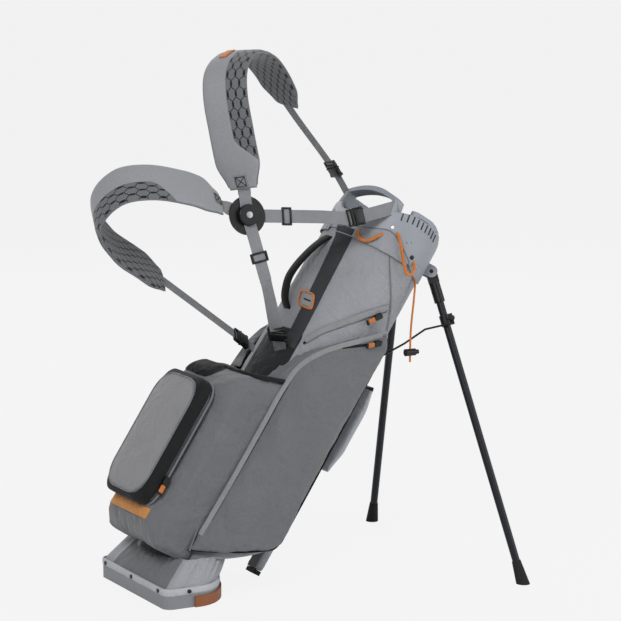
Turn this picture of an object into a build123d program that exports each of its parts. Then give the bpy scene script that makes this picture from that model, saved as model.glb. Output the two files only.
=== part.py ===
"""Golf stand bag: a soft-sided tube that leans on its base and on two folding legs.

The origin is the middle of the base's sole, +Z is up and the bag leans towards +X, where
the legs stand. The right-hand side of the bag is -Y. Most pieces are drawn in the bag's own
frame, whose Z runs up the tube and whose X points at the legs.
"""

import os
from math import acos, atan2, cos, radians, sin

from build123d import *

os.makedirs("parts", exist_ok=True)

# Driving dimensions, in millimetres and degrees
LEAN = 33
BAG_SETBACK = 36
TUBE_LENGTH = 800
TUBE_FOOT = 100
TUBE_WALL = 2.5
TOP_AXIS = 57
TOP_DEPTH = 196
TOP_WIDTH = 250
FOOT_AXIS = 48
FOOT_DEPTH = 224
FOOT_WIDTH = 270
FLOOR_HEIGHT = 80

COLLAR_PROUD = 4
COLLAR_SKIRT = 18
COLLAR_WALL = 11
RIM_FRONT = 818
RIM_CREST = 866
RIM_REAR = 804
CREST_AXIS = 35
GRIP_START = 28
GRIP_HEIGHT = 9
GRIP_RIBS = 9
RIB_GROOVE = 2.5

HANDLE_AXIS = 4
HANDLE_FOOT = 845
HANDLE_SPAN = 212
HANDLE_CREST = 896
HANDLE_SHOULDER = 878
HANDLE_DEPTH = 22
HANDLE_BAR = 10

DIVIDER_BAR = 7
DIVIDER_BAR_HEIGHT = 26
DIVIDER_SHEET = 1.6
DIVIDER_FOOT = 215
DIVIDER_FRONT = 22
DIVIDER_REAR = 92
STAY_RADIUS = 4
STAY_LOW = 140

PIVOT_BACK = 160
PIVOT_SIDE = 64
PIVOT_HEIGHT = 803
LEG_STANCE = 594
LEG_REACH = 609
LEG_RADIUS = 7.5
LEG_WALL = 1.2
KNUCKLE_WIDTH = 16
KNUCKLE_RADIUS = 10.5
KNUCKLE_LENGTH = 62
SOCKET_START = 22
EAR_THICKNESS = 5
EAR_RADIUS = 12
EAR_CLEARANCE = 0.5
PIN_RADIUS = 4
PIN_CLEARANCE = 0.05
CLAMP_DISTANCE = 100
CLAMP_RADIUS = 10
CLAMP_HEIGHT = 22
CLAMP_EAR = 12
CLAMP_EAR_WIDTH = 10
STUD_RADIUS = 2
STUD_HEAD = 4.5
EYE_STANDOFF = 18
FOOT_RADIUS = 13.5
FOOT_LENGTH = 46
FOOT_TIP = 14

SPINE_THICKNESS = 18
SPINE_WIDTH = 40
SPINE_BACK = 178
SPINE_LOW = 128
SPINE_HIGH = 524
ROD_RADIUS = 4
ROD_CLEARANCE = 0.06
SLIDER_HEIGHT = 600
SLIDER_SIZE = 24
SLIDER_STUD = 17
SLIDER_STUD_RADIUS = 3
STUD_ROOT = 12
SHOE_WIDTH = 38
SHOE_HEIGHT = 9
WIRE_RADIUS = 2
WIRE_EYE_LENGTH = 16
WIRE_EYE_WIDTH = 6.6
WIRE_EYE_DROP = 4.8
WIRE_RIM = 2.5
WIRE_CREST = 0.3
WIRE_BOW = 9
WIRE_BEND = 0.62
HIP_PAD_WIDTH = 92
HIP_PAD_LOW = 362
HIP_PAD_HIGH = 552
HIP_PAD_THICKNESS = 22

POCKET_THICKNESS = 20
POCKET_BACK = 120
POCKET_TOP = 641
POCKET_HEEL = 187
POCKET_EDGE = ((-42, 88), (-54, 229), (-57, 355), (-44, 458), (-24, 526), (40, 604), (97, 641))
SIDE_BAND = ((-41, 782), (-30, 782), (-31, 537), (-43, 526))
COOLER_FRONT = -140
COOLER_WIDTH = 210
COOLER_CORNER = 38
COOLER_LOW = 64
COOLER_HIGH = 395
BALL_DEPTH = 36
BALL_WIDTH = 172
BALL_LOW = 127
BALL_HIGH = 386
BALL_CORNER = 34
BAND_LOW = 103
BAND_HEIGHT = 22
TRIM_THICKNESS = 1.6

BASE_FRONT = -88
BASE_REAR = 72
BASE_WIDTH = 300
BASE_BEND = -20
BASE_HEIGHT = 26
BASE_WALL = 4
BASE_FLOOR = 7
BASE_CORNER = 18
STRIP_HEIGHT = 12
STRIP_PROUD = 1.5
HEEL_THICKNESS = 4
HEEL_HEIGHT = 21
HEEL_START = -28
BOOT_WALL = 2
BOOT_INSET = 3
BOOT_GATHER = 26
BOOT_LEAN = 48
BOOT_FRONT_RISE = 116
BOOT_REAR_RISE = 78
RIVET_RADIUS = 4
RIVET_HEAD = 2
HINGE_BACK = -60
HINGE_HEIGHT = 31
HINGE_ARM = 35
HINGE_ARM_WIDTH = 10
HINGE_EYE = 8
BRACKET_BACK = -18
BRACKET_HEIGHT = 98
FLOOR_THICKNESS = 3
RIVET_SPREAD = 120
RIVET_SIDE = -40

WEBBING = 25
WEBBING_THICKNESS = 1.6
PAD_EDGE = 8
PAD_CROWN = 15
PAD_WIDTH = 86
BUCKLE_WIDTH = 36
BUCKLE_THICKNESS = 11
SOCKET_LENGTH = 22
PRONG_LENGTH = 14
HUB_RADIUS = 37
HUB_THICKNESS = 4
CAP_RADIUS = 20.5
CAP_THICKNESS = 7
RIVET_SHAFT = 7.5
GLIDE_LENGTH = 20
GLIDE_FRAME = 5
GLIDE_GAP = 0.6
STRAP_GAP = 0.3
PAD_END = 55
PAD_TWIST = 28
HUB_CENTRE = (107, -108, 729)
HUB_FACE = (0, -0.97, 0.243)
COLLAR_STRAP = (0.997, -0.0175, -0.07)
FRONT_STRAP = (-0.907, 0.102, 0.408)
UPPER_STRAP = (-0.036, 0.243, 0.97)
SIDE_STRAP = (0.172, -0.239, -0.955)
COLLAR_RUN = 229
SIDE_RUN = 130
UPPER_RUN = 50
COLLAR_GLIDE_AT = 85
SIDE_GLIDE_AT = 82

ROPE_RADIUS = 3
CORD_RADIUS = 2
LOCK_RADIUS = 7
LOCK_LENGTH = 22
BUTTON_RADIUS = 4.5
BUTTON_CLEARANCE = 0.06
BUTTON_TRAVEL = 4

ZIP_WIDTH = 9
ZIP_PROUD = 2.4
PULLER_WIDTH = 11
PULLER_LENGTH = 16
PULLER_HEIGHT = 6
TAB_LENGTH = 24
TAB_WIDTH = 7

FAR = 400

# Directions and planes of the leaning bag
UP_BAG = Vector(sin(radians(LEAN)), 0, cos(radians(LEAN)))
TO_LEGS = Vector(cos(radians(LEAN)), 0, -sin(radians(LEAN)))
LEFTWARD = Vector(0, 1, 0)
bag = Plane(origin=(-BAG_SETBACK, 0, 0), x_dir=TO_LEGS, z_dir=UP_BAG)
side_view = Plane(origin=bag.origin, x_dir=TO_LEGS, z_dir=(0, -1, 0))
front_view = Plane(origin=bag.origin, x_dir=LEFTWARD, z_dir=TO_LEGS)
ground = Plane.XY


def spot(back, left, height):
    """A point of the bag's frame, in the part's frame."""
    return bag.from_local_coords(Vector(back, left, height))


def heading(back, left, height):
    """A direction of the bag's frame, in the part's frame."""
    return TO_LEGS * back + LEFTWARD * left + UP_BAG * height


def between(height, foot, top):
    """A size of the tube at a height, from its sizes at the foot and at the top."""
    return foot + (top - foot) * (height - TUBE_FOOT) / (TUBE_LENGTH - TUBE_FOOT)


def tube_blank(grow, low, high):
    """The tube's outer form, grown outwards, between two heights."""
    with BuildPart() as blank:
        for height in (low, high):
            with BuildSketch(bag.offset(height)):
                with Locations((between(height, FOOT_AXIS, TOP_AXIS), 0)):
                    Ellipse(
                        between(height, FOOT_DEPTH, TOP_DEPTH) / 2 + grow,
                        between(height, FOOT_WIDTH, TOP_WIDTH) / 2 + grow,
                    )
        loft(ruled=True)
    return blank.part


def write(piece, name):
    """Labels a finished piece and writes it."""
    piece.label = name
    export_step(piece, f"parts/{name}.step")


def ribbon(points, faces, width, thickness):
    """A flat strap through points, its flat side turned to the face given for each point."""
    route = [Vector(point) for point in points]
    with BuildPart() as strap:
        for index, point in enumerate(route):
            ahead = route[min(index + 1, len(route) - 1)]
            behind = route[max(index - 1, 0)]
            travel = (ahead - behind).normalized()
            across = travel.cross(Vector(faces[index])).normalized()
            with BuildSketch(Plane(origin=point, x_dir=across, z_dir=travel)):
                Rectangle(width, thickness)
        loft(ruled=True)
    return strap.part


def cushion_band(points, across, widths, edge, crown, twist=0):
    """A padded band through points, crowned on both sides and thin at its edges.

    Past its middle it turns about its own line, by twist degrees at its far end.
    """
    route = [Vector(point) for point in points]
    with BuildPart() as band:
        for index, point in enumerate(route):
            ahead = route[min(index + 1, len(route) - 1)]
            behind = route[max(index - 1, 0)]
            travel = (ahead - behind).normalized()
            half = widths[index] / 2
            turn = twist * max(0, 2 * index / (len(route) - 1) - 1)
            lie = across.rotate(Axis((0, 0, 0), travel), turn)
            with BuildSketch(Plane(origin=point, x_dir=lie, z_dir=travel)):
                with BuildLine():
                    ThreePointArc((-half, edge / 2), (0, crown / 2), (half, edge / 2))
                    Line((half, edge / 2), (half, -edge / 2))
                    ThreePointArc((half, -edge / 2), (0, -crown / 2), (-half, -edge / 2))
                    Line((-half, -edge / 2), (-half, edge / 2))
                make_face()
        loft(ruled=True)
    return band.part


# Blanks of the tube that shape its neighbours
BLANK_LOW = -60
BLANK_HIGH = 960
tube_outside = tube_blank(0, BLANK_LOW, TUBE_LENGTH)
tube_inside = tube_blank(-TUBE_WALL, BLANK_LOW, BLANK_HIGH)
pocket_outside = tube_blank(POCKET_THICKNESS, BLANK_LOW, BLANK_HIGH)

with BuildPart() as tube_shell:
    add(tube_outside)
    add(tube_inside, mode=Mode.SUBTRACT)
    split(bisect_by=ground.offset(FLOOR_HEIGHT), keep=Keep.TOP)

# The tube is sewn from four panels that meet at its corners
corner_reach = FAR * FOOT_WIDTH / FOOT_DEPTH
panel_corners = {
    "front_panel": ((-FAR, corner_reach), (-FAR, -corner_reach)),
    "right_panel": ((-FAR, -corner_reach), (FAR, -corner_reach)),
    "back_panel": ((FAR, -corner_reach), (FAR, corner_reach)),
    "left_panel": ((FAR, corner_reach), (-FAR, corner_reach)),
}
panel_axis = (TOP_AXIS + FOOT_AXIS) / 2
for panel_name, (first, second) in panel_corners.items():
    with BuildPart() as panel:
        add(tube_shell.part)
        with BuildSketch(bag):
            with BuildLine():
                Polyline(
                    (panel_axis, 0),
                    (panel_axis + first[0], first[1]),
                    (panel_axis + second[0], second[1]),
                    close=True,
                )
            make_face()
        extrude(amount=BLANK_HIGH, mode=Mode.INTERSECT)
    write(panel.part, panel_name)


# Top collar, whose rim rises to a crest and whose ears carry the legs
def rim_outline(lift):
    """The side outline under the rim, raised by lift."""
    front = TOP_AXIS - TOP_DEPTH / 2
    rear = TOP_AXIS + TOP_DEPTH / 2
    with BuildSketch(side_view) as outline:
        with BuildLine():
            crest = ThreePointArc(
                (front, RIM_FRONT + lift),
                (CREST_AXIS, RIM_CREST + lift),
                (rear, RIM_REAR + lift),
            )
            ahead = (crest @ 0) - crest.tangent_at(0) * COLLAR_WALL
            behind = (crest @ 1) + crest.tangent_at(1) * COLLAR_WALL
            Line(crest @ 1, behind)
            Polyline(behind, (behind.X, TUBE_FOOT), (ahead.X, TUBE_FOOT), ahead)
            Line(ahead, crest @ 0)
        make_face()
    return outline.sketch


def leg_directions(side):
    """The pivot, the hinge axis and the direction of one leg."""
    pivot = spot(PIVOT_BACK, side * PIVOT_SIDE, PIVOT_HEIGHT)
    foot = Vector(LEG_REACH, side * LEG_STANCE / 2, 0)
    down = (foot - pivot).normalized()
    hinge = (LEFTWARD * down.dot(TO_LEGS) - TO_LEGS * down.dot(LEFTWARD)).normalized()
    return pivot, hinge, down, (foot - pivot).length


top_axis = between(TUBE_LENGTH, FOOT_AXIS, TOP_AXIS)
collar_depth = TOP_DEPTH / 2 + COLLAR_PROUD
collar_width = TOP_WIDTH / 2 + COLLAR_PROUD
collar_low = TUBE_LENGTH - COLLAR_SKIRT
ear_gap = KNUCKLE_WIDTH / 2 + EAR_CLEARANCE

with BuildPart() as collar_ring:
    with BuildSketch(bag.offset(collar_low)):
        with Locations((top_axis, 0)):
            Ellipse(collar_depth, collar_width)
    extrude(amount=RIM_CREST - collar_low)
    extrude(rim_outline(0), amount=FAR, both=True, mode=Mode.INTERSECT)
    with BuildSketch(bag.offset(TUBE_LENGTH)):
        with Locations((top_axis, 0)):
            Ellipse(collar_depth - COLLAR_WALL, collar_width - COLLAR_WALL)
    extrude(amount=RIM_CREST - TUBE_LENGTH, mode=Mode.SUBTRACT)
    add(tube_outside, mode=Mode.SUBTRACT)

with BuildPart() as collar_core:
    with BuildSketch(bag.offset(collar_low)):
        with Locations((top_axis, 0)):
            Ellipse(collar_depth - COLLAR_WALL / 2, collar_width - COLLAR_WALL / 2)
    extrude(amount=RIM_CREST - collar_low)

with BuildPart() as top_collar:
    add(collar_ring.part)
    for side in (-1, 1):
        pivot, hinge, down, leg_length = leg_directions(side)
        outward = hinge.cross(UP_BAG)
        for turn in (-1, 1):
            ear_plane = Plane(origin=pivot, x_dir=outward, z_dir=hinge * turn).offset(ear_gap)
            with BuildSketch(ear_plane):
                Circle(EAR_RADIUS)
                with Locations((-FOOT_RADIUS, 0)):
                    Rectangle(2 * FOOT_RADIUS, 2 * EAR_RADIUS)
            extrude(amount=EAR_THICKNESS)
    add(tube_outside, mode=Mode.SUBTRACT)
    add(collar_core.part, mode=Mode.SUBTRACT)
    add(collar_ring.part)
    for side in (-1, 1):
        pivot, hinge, down, leg_length = leg_directions(side)
        with BuildSketch(Plane(origin=pivot, x_dir=UP_BAG, z_dir=hinge)):
            Circle(PIN_RADIUS)
        extrude(amount=ear_gap + EAR_THICKNESS, both=True, mode=Mode.SUBTRACT)
write(top_collar.part, "top_collar")

with BuildPart() as leg_pins:
    for side in (-1, 1):
        pivot, hinge, down, leg_length = leg_directions(side)
        with BuildSketch(Plane(origin=pivot, x_dir=UP_BAG, z_dir=hinge)):
            Circle(PIN_RADIUS)
        extrude(amount=ear_gap + EAR_THICKNESS, both=True)
write(leg_pins.part, "leg_pins")

# Lifting handle, an arch that crosses the mouth
handle_half = HANDLE_SPAN / 2
shoulder_half = handle_half - HANDLE_BAR
with BuildPart() as lift_handle:
    with BuildSketch(front_view.offset(HANDLE_AXIS - HANDLE_DEPTH / 2)):
        with BuildLine():
            arch = ThreePointArc(
                (-shoulder_half, HANDLE_SHOULDER),
                (0, HANDLE_CREST),
                (shoulder_half, HANDLE_SHOULDER),
            )
            hollow = ThreePointArc(
                (shoulder_half - HANDLE_BAR, HANDLE_SHOULDER - HANDLE_BAR / 2),
                (0, HANDLE_CREST - HANDLE_BAR),
                (HANDLE_BAR - shoulder_half, HANDLE_SHOULDER - HANDLE_BAR / 2),
            )
            Polyline(
                arch @ 1,
                (handle_half, HANDLE_FOOT),
                (handle_half - HANDLE_BAR, HANDLE_FOOT),
                hollow @ 0,
            )
            Polyline(
                hollow @ 1,
                (HANDLE_BAR - handle_half, HANDLE_FOOT),
                (-handle_half, HANDLE_FOOT),
                arch @ 0,
            )
        make_face()
    extrude(amount=HANDLE_DEPTH)
    add(collar_ring.part, mode=Mode.SUBTRACT)
write(lift_handle.part, "lift_handle")

# Ribbed grip on the rear of the rim
rib_step = (top_axis + collar_depth - GRIP_START) / (GRIP_RIBS + 1)
with BuildPart() as grip_grooves:
    with BuildSketch(side_view):
        for rib in range(GRIP_RIBS):
            with Locations((GRIP_START + rib_step * (rib + 1), RIM_CREST)):
                Rectangle(RIB_GROOVE, FAR)
    extrude(amount=FAR, both=True)
    extrude(rim_outline(GRIP_HEIGHT - RIB_GROOVE), amount=FAR, both=True, mode=Mode.SUBTRACT)

with BuildPart() as rim_grip:
    with BuildSketch(bag.offset(TUBE_LENGTH)):
        with Locations((top_axis, 0)):
            Ellipse(collar_depth, collar_width)
            Ellipse(collar_depth - COLLAR_WALL, collar_width - COLLAR_WALL, mode=Mode.SUBTRACT)
        with Locations((GRIP_START - FAR / 2, 0)):
            Rectangle(FAR, FAR, mode=Mode.SUBTRACT)
    extrude(amount=RIM_CREST + GRIP_HEIGHT - TUBE_LENGTH)
    extrude(rim_outline(GRIP_HEIGHT), amount=FAR, both=True, mode=Mode.INTERSECT)
    extrude(rim_outline(0), amount=FAR, both=True, mode=Mode.SUBTRACT)
    add(grip_grooves.part, mode=Mode.SUBTRACT)
    add(top_collar.part, mode=Mode.SUBTRACT)
write(rim_grip.part, "rim_grip")

# Club divider: a moulded grid at the mouth and fabric sheets below it
grid_low = TUBE_LENGTH - DIVIDER_BAR_HEIGHT
with BuildPart() as divider_top:
    with BuildSketch(bag.offset(grid_low)):
        with Locations((top_axis, 0)):
            Rectangle(TOP_DEPTH, DIVIDER_BAR)
        with Locations((DIVIDER_FRONT, 0), (DIVIDER_REAR, 0)):
            Rectangle(DIVIDER_BAR, TOP_WIDTH)
    extrude(amount=DIVIDER_BAR_HEIGHT)
    add(tube_inside, mode=Mode.INTERSECT)
write(divider_top.part, "divider_top")

half_sheet = FOOT_WIDTH / 2
with BuildPart() as dividers:
    with BuildSketch(bag.offset(DIVIDER_FOOT)):
        with Locations((top_axis, 0)):
            Rectangle(FOOT_DEPTH, DIVIDER_SHEET)
        for side in (-1, 1):
            sheet_middle = side * (half_sheet / 2 + DIVIDER_SHEET)
            with Locations((DIVIDER_FRONT, sheet_middle), (DIVIDER_REAR, sheet_middle)):
                Rectangle(DIVIDER_SHEET, half_sheet)
    extrude(amount=grid_low - DIVIDER_FOOT)
    add(tube_inside, mode=Mode.INTERSECT)
write(dividers.part, "dividers")

stay_side = TOP_WIDTH / 2 - TUBE_WALL - STAY_RADIUS
with BuildPart() as stays:
    with BuildSketch(bag.offset(STAY_LOW)):
        with Locations((top_axis, stay_side), (top_axis, -stay_side)):
            Circle(STAY_RADIUS)
    extrude(amount=TUBE_LENGTH - STAY_LOW)
    add(tube_inside, mode=Mode.INTERSECT)
write(stays.part, "stays")

# Folding legs: knuckle, tube, wire clamp and rubber foot on each side
socket_floor = SOCKET_START + KNUCKLE_WIDTH / 2
clamp_low = CLAMP_DISTANCE - CLAMP_HEIGHT / 2
eye_outer = EYE_STANDOFF + WIRE_RIM
for side, side_name in ((-1, "right"), (1, "left")):
    pivot, hinge, down, leg_length = leg_directions(side)
    leg = Plane(origin=pivot, x_dir=hinge, z_dir=down)
    with BuildPart() as knuckle:
        with BuildSketch(Plane(origin=pivot, x_dir=down, z_dir=hinge)):
            Circle(KNUCKLE_RADIUS)
            with Locations((SOCKET_START / 2, 0)):
                Rectangle(SOCKET_START, 2 * KNUCKLE_RADIUS)
        extrude(amount=KNUCKLE_WIDTH / 2, both=True)
        with BuildSketch(leg.offset(SOCKET_START)):
            Circle(KNUCKLE_RADIUS)
        extrude(amount=KNUCKLE_LENGTH - SOCKET_START)
        with BuildSketch(leg.offset(socket_floor)):
            Circle(LEG_RADIUS)
        extrude(amount=KNUCKLE_LENGTH - socket_floor, mode=Mode.SUBTRACT)
        with BuildSketch(Plane(origin=pivot, x_dir=down, z_dir=hinge)):
            Circle(PIN_RADIUS + PIN_CLEARANCE)
        extrude(amount=KNUCKLE_WIDTH / 2, both=True, mode=Mode.SUBTRACT)
    write(knuckle.part, f"{side_name}_knuckle")

    with BuildPart() as leg_tube:
        with BuildSketch(leg.offset(socket_floor)):
            Circle(LEG_RADIUS)
            Circle(LEG_RADIUS - LEG_WALL, mode=Mode.SUBTRACT)
        extrude(amount=leg_length - socket_floor - FOOT_TIP)
    write(leg_tube.part, f"{side_name}_leg_tube")

    with BuildPart() as foot:
        with BuildSketch(leg.offset(leg_length - FOOT_LENGTH)):
            Circle(LEG_RADIUS + LEG_WALL)
        with BuildSketch(leg.offset(leg_length + FOOT_RADIUS / 2)):
            Circle(FOOT_RADIUS)
        loft(ruled=True)
        with BuildSketch(leg.offset(leg_length - FOOT_LENGTH)):
            Circle(LEG_RADIUS)
        extrude(amount=FOOT_LENGTH - FOOT_TIP, mode=Mode.SUBTRACT)
        split(bisect_by=ground, keep=Keep.TOP)
    write(foot.part, f"{side_name}_foot")

    with BuildPart() as clamp:
        with BuildSketch(leg.offset(clamp_low)):
            Circle(CLAMP_RADIUS)
            with Locations((0, CLAMP_RADIUS)):
                Rectangle(CLAMP_EAR_WIDTH, CLAMP_EAR)
            Circle(LEG_RADIUS, mode=Mode.SUBTRACT)
        extrude(amount=CLAMP_HEIGHT)
        stud_foot = leg.from_local_coords(Vector(0, CLAMP_EAR, CLAMP_DISTANCE))
        stud_plane = Plane(origin=stud_foot, x_dir=down, z_dir=hinge * side)
        with BuildSketch(stud_plane):
            Circle(STUD_RADIUS)
        extrude(amount=eye_outer)
        with BuildSketch(stud_plane.offset(eye_outer)):
            Circle(STUD_HEAD)
        extrude(amount=WIRE_RIM)
    write(clamp.part, f"{side_name}_clamp")

# Push rod in the sleeve down the back, with the slider that carries the wires
rod_back = SPINE_BACK - SPINE_THICKNESS / 2
sleeve_front = SPINE_BACK - 2 * SPINE_THICKNESS
shoe_high = SPINE_LOW - STRAP_GAP
slider_low = SLIDER_HEIGHT - SLIDER_SIZE / 2
with BuildPart() as spine_sleeve:
    with BuildSketch(bag.offset(SPINE_LOW)):
        with Locations(((sleeve_front + SPINE_BACK) / 2, 0)):
            RectangleRounded(SPINE_BACK - sleeve_front, SPINE_WIDTH, ROD_RADIUS)
        with Locations((rod_back, 0)):
            Circle(ROD_RADIUS + ROD_CLEARANCE, mode=Mode.SUBTRACT)
    extrude(amount=SPINE_HIGH - SPINE_LOW)
    add(tube_outside, mode=Mode.SUBTRACT)
write(spine_sleeve.part, "spine_sleeve")

with BuildPart() as push_rod:
    with BuildSketch(bag.offset(shoe_high - SHOE_HEIGHT)):
        with Locations((rod_back, 0)):
            RectangleRounded(SPINE_THICKNESS - ROD_RADIUS, SHOE_WIDTH, ROD_RADIUS / 2)
    extrude(amount=SHOE_HEIGHT)
    with BuildSketch(bag.offset(shoe_high)):
        with Locations((rod_back, 0)):
            Circle(ROD_RADIUS)
    extrude(amount=SLIDER_HEIGHT + SLIDER_SIZE / 2 - shoe_high)
write(push_rod.part, "push_rod")

with BuildPart() as rod_slider:
    with BuildSketch(bag.offset(slider_low)):
        with Locations((rod_back, 0)):
            RectangleRounded(3 * ROD_RADIUS, SPINE_THICKNESS, ROD_RADIUS / 2)
    extrude(amount=SLIDER_SIZE)
    for side in (-1, 1):
        pivot, hinge, down, leg_length = leg_directions(side)
        stud_middle = spot(rod_back, side * SLIDER_STUD, SLIDER_HEIGHT)
        stud_out = Plane(origin=stud_middle, x_dir=UP_BAG, z_dir=hinge * side)
        with BuildSketch(stud_out.offset(WIRE_RIM)):
            Circle(STUD_HEAD)
        extrude(amount=WIRE_RIM)
        with BuildSketch(stud_out.offset(WIRE_RIM)):
            Circle(SLIDER_STUD_RADIUS)
        extrude(amount=-STUD_ROOT)
    with BuildSketch(bag.offset(slider_low)):
        with Locations((rod_back, 0)):
            Circle(ROD_RADIUS)
    extrude(amount=SLIDER_SIZE, mode=Mode.SUBTRACT)
write(rod_slider.part, "rod_slider")

for side, side_name in ((-1, "right"), (1, "left")):
    pivot, hinge, down, leg_length = leg_directions(side)
    leg = Plane(origin=pivot, x_dir=hinge, z_dir=down)
    lower_eye = spot(rod_back, side * SLIDER_STUD, SLIDER_HEIGHT)
    stud_rest = leg.from_local_coords(Vector(side * EYE_STANDOFF, CLAMP_EAR, CLAMP_DISTANCE))
    upper_eye = stud_rest - UP_BAG * WIRE_EYE_DROP
    lower_plane = Plane(origin=lower_eye, x_dir=UP_BAG, z_dir=hinge)
    upper_plane = Plane(origin=upper_eye, x_dir=UP_BAG, z_dir=hinge)
    reach = (upper_eye - lower_eye) - hinge * (upper_eye - lower_eye).dot(hinge)
    rod_from = lower_eye + reach.normalized() * (SLIDER_STUD_RADIUS + WIRE_RADIUS)
    rod_to = upper_eye - UP_BAG * (WIRE_EYE_LENGTH / 2 + WIRE_RADIUS / 2)
    # Beside the leg the wire keeps its distance, then it bends in to the slider
    inward = rod_from - rod_to
    level = inward - hinge * inward.dot(hinge)
    lift = hinge.cross(level).normalized()
    lift = lift if lift.dot(UP_BAG) > 0 else -lift
    stops = [rod_to, rod_to + level * WIRE_CREST + lift * WIRE_BOW, rod_to + level * WIRE_BEND, rod_from]
    with BuildPart() as wire:
        for near, far in zip(stops, stops[1:]):
            with BuildSketch(Plane(origin=near, z_dir=far - near)):
                Circle(WIRE_RADIUS)
            extrude(amount=(far - near).length)
        with Locations(*stops[1:3]):
            Sphere(WIRE_RADIUS)
        with BuildSketch(lower_plane):
            Circle(SLIDER_STUD_RADIUS + 2 * WIRE_RADIUS)
        extrude(amount=WIRE_RADIUS, both=True)
        with BuildSketch(upper_plane):
            SlotOverall(WIRE_EYE_LENGTH + 2 * WIRE_RIM, WIRE_EYE_WIDTH + 2 * WIRE_RIM)
        extrude(amount=WIRE_RADIUS, both=True)
        with BuildSketch(upper_plane):
            SlotOverall(WIRE_EYE_LENGTH, WIRE_EYE_WIDTH)
        extrude(amount=2 * WIRE_RIM, both=True, mode=Mode.SUBTRACT)
        with BuildSketch(lower_plane):
            Circle(SLIDER_STUD_RADIUS + ROD_CLEARANCE)
        extrude(amount=SLIDER_STUD_RADIUS, both=True, mode=Mode.SUBTRACT)
    write(wire.part, f"{side_name}_wire")

pad_back = SPINE_BACK + STRAP_GAP + HIP_PAD_THICKNESS / 2
pad_step = (HIP_PAD_HIGH - HIP_PAD_LOW) / 4
hip_points = [spot(pad_back, 0, HIP_PAD_LOW + pad_step * stop) for stop in range(5)]
hip_ends = 0.75 * HIP_PAD_WIDTH
hip_widths = (hip_ends, HIP_PAD_WIDTH, HIP_PAD_WIDTH, HIP_PAD_WIDTH, hip_ends)
hip_pad = cushion_band(hip_points, LEFTWARD, hip_widths, HIP_PAD_THICKNESS / 2, HIP_PAD_THICKNESS)
write(hip_pad, "hip_pad")

# Pockets, shaped to the tube
with BuildPart() as cooler_pocket:
    with BuildSketch(side_view):
        with BuildLine():
            Polyline(
                (0, COOLER_LOW),
                (COOLER_FRONT + COOLER_CORNER, COOLER_LOW),
                (COOLER_FRONT, COOLER_LOW + COOLER_CORNER),
                (COOLER_FRONT, COOLER_HIGH),
                (COOLER_FRONT + COOLER_CORNER, COOLER_HIGH + COOLER_CORNER),
                (0, COOLER_HIGH + 2 * COOLER_CORNER),
                close=True,
            )
        make_face()
    extrude(amount=COOLER_WIDTH / 2, both=True)
    with BuildSketch(bag):
        with Locations((0, 0)):
            RectangleRounded(-2 * COOLER_FRONT, COOLER_WIDTH, COOLER_CORNER)
    extrude(amount=TUBE_LENGTH, mode=Mode.INTERSECT)
    add(tube_outside, mode=Mode.SUBTRACT)
write(cooler_pocket.part, "cooler_pocket")


with BuildPart() as ball_pocket:
    with BuildSketch(front_view.offset(COOLER_FRONT - BALL_DEPTH)):
        with Locations((0, (BALL_LOW + BALL_HIGH) / 2)):
            RectangleRounded(BALL_WIDTH, BALL_HIGH - BALL_LOW, BALL_CORNER)
    extrude(amount=BALL_DEPTH + COOLER_CORNER)
    rim = ball_pocket.faces().sort_by(Axis(bag.origin, TO_LEGS))[0]
    fillet(rim.edges(), BALL_DEPTH / 2)
    add(cooler_pocket.part, mode=Mode.SUBTRACT)
write(ball_pocket.part, "ball_pocket")

with BuildPart() as orange_band:
    with BuildSketch(bag.offset(BAND_LOW)):
        RectangleRounded(
            2 * (TRIM_THICKNESS - COOLER_FRONT),
            COOLER_WIDTH + 2 * TRIM_THICKNESS,
            COOLER_CORNER + TRIM_THICKNESS,
        )
        RectangleRounded(-2 * COOLER_FRONT, COOLER_WIDTH, COOLER_CORNER, mode=Mode.SUBTRACT)
        with Locations((FAR / 2 + COOLER_FRONT + COOLER_CORNER, 0)):
            Rectangle(FAR, FAR, mode=Mode.SUBTRACT)
    extrude(amount=BAND_HEIGHT)
write(orange_band.part, "orange_band")

side_pockets = []
for side, side_name in ((-1, "right"), (1, "left")):
    with BuildPart() as side_pocket:
        with BuildSketch(side_view):
            with BuildLine():
                edge = Spline(*POCKET_EDGE)
                Polyline(
                    edge @ 1,
                    (POCKET_BACK, POCKET_TOP - POCKET_THICKNESS),
                    (POCKET_BACK, POCKET_HEEL),
                    (POCKET_BACK - POCKET_THICKNESS, POCKET_HEEL - POCKET_THICKNESS),
                    edge @ 0,
                )
            make_face()
        extrude(amount=-side * FAR)
        add(pocket_outside, mode=Mode.INTERSECT)
        add(tube_outside, mode=Mode.SUBTRACT)
        add(cooler_pocket.part, mode=Mode.SUBTRACT)
    write(side_pocket.part, f"{side_name}_pocket")
    side_pockets.append(side_pocket.part)

with BuildPart() as side_band:
    with BuildSketch(side_view):
        with BuildLine():
            Polyline(*SIDE_BAND, close=True)
        make_face()
    extrude(amount=FAR)
    add(tube_blank(TRIM_THICKNESS, BLANK_LOW, collar_low), mode=Mode.INTERSECT)
    add(tube_outside, mode=Mode.SUBTRACT)
write(side_band.part, "side_band")


# Base: a tray that lies flat on the floor and is hinged under the front of the bag
def base_outline(grow, plane):
    """The base's plan outline, grown outwards, on a plane."""
    half = BASE_WIDTH / 2 + grow
    with BuildSketch(plane) as outline:
        with BuildLine():
            rear = EllipticalCenterArc(
                (BASE_BEND, 0), BASE_REAR - BASE_BEND + grow, half, start_angle=-90, arc_size=180
            )
            Polyline(rear @ 1, (BASE_FRONT - grow, half), (BASE_FRONT - grow, -half), rear @ 0)
        make_face()
        fillet(outline.vertices().sort_by(Axis.X)[:2], max(BASE_CORNER + grow, BASE_WALL))
    return outline.sketch


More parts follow.
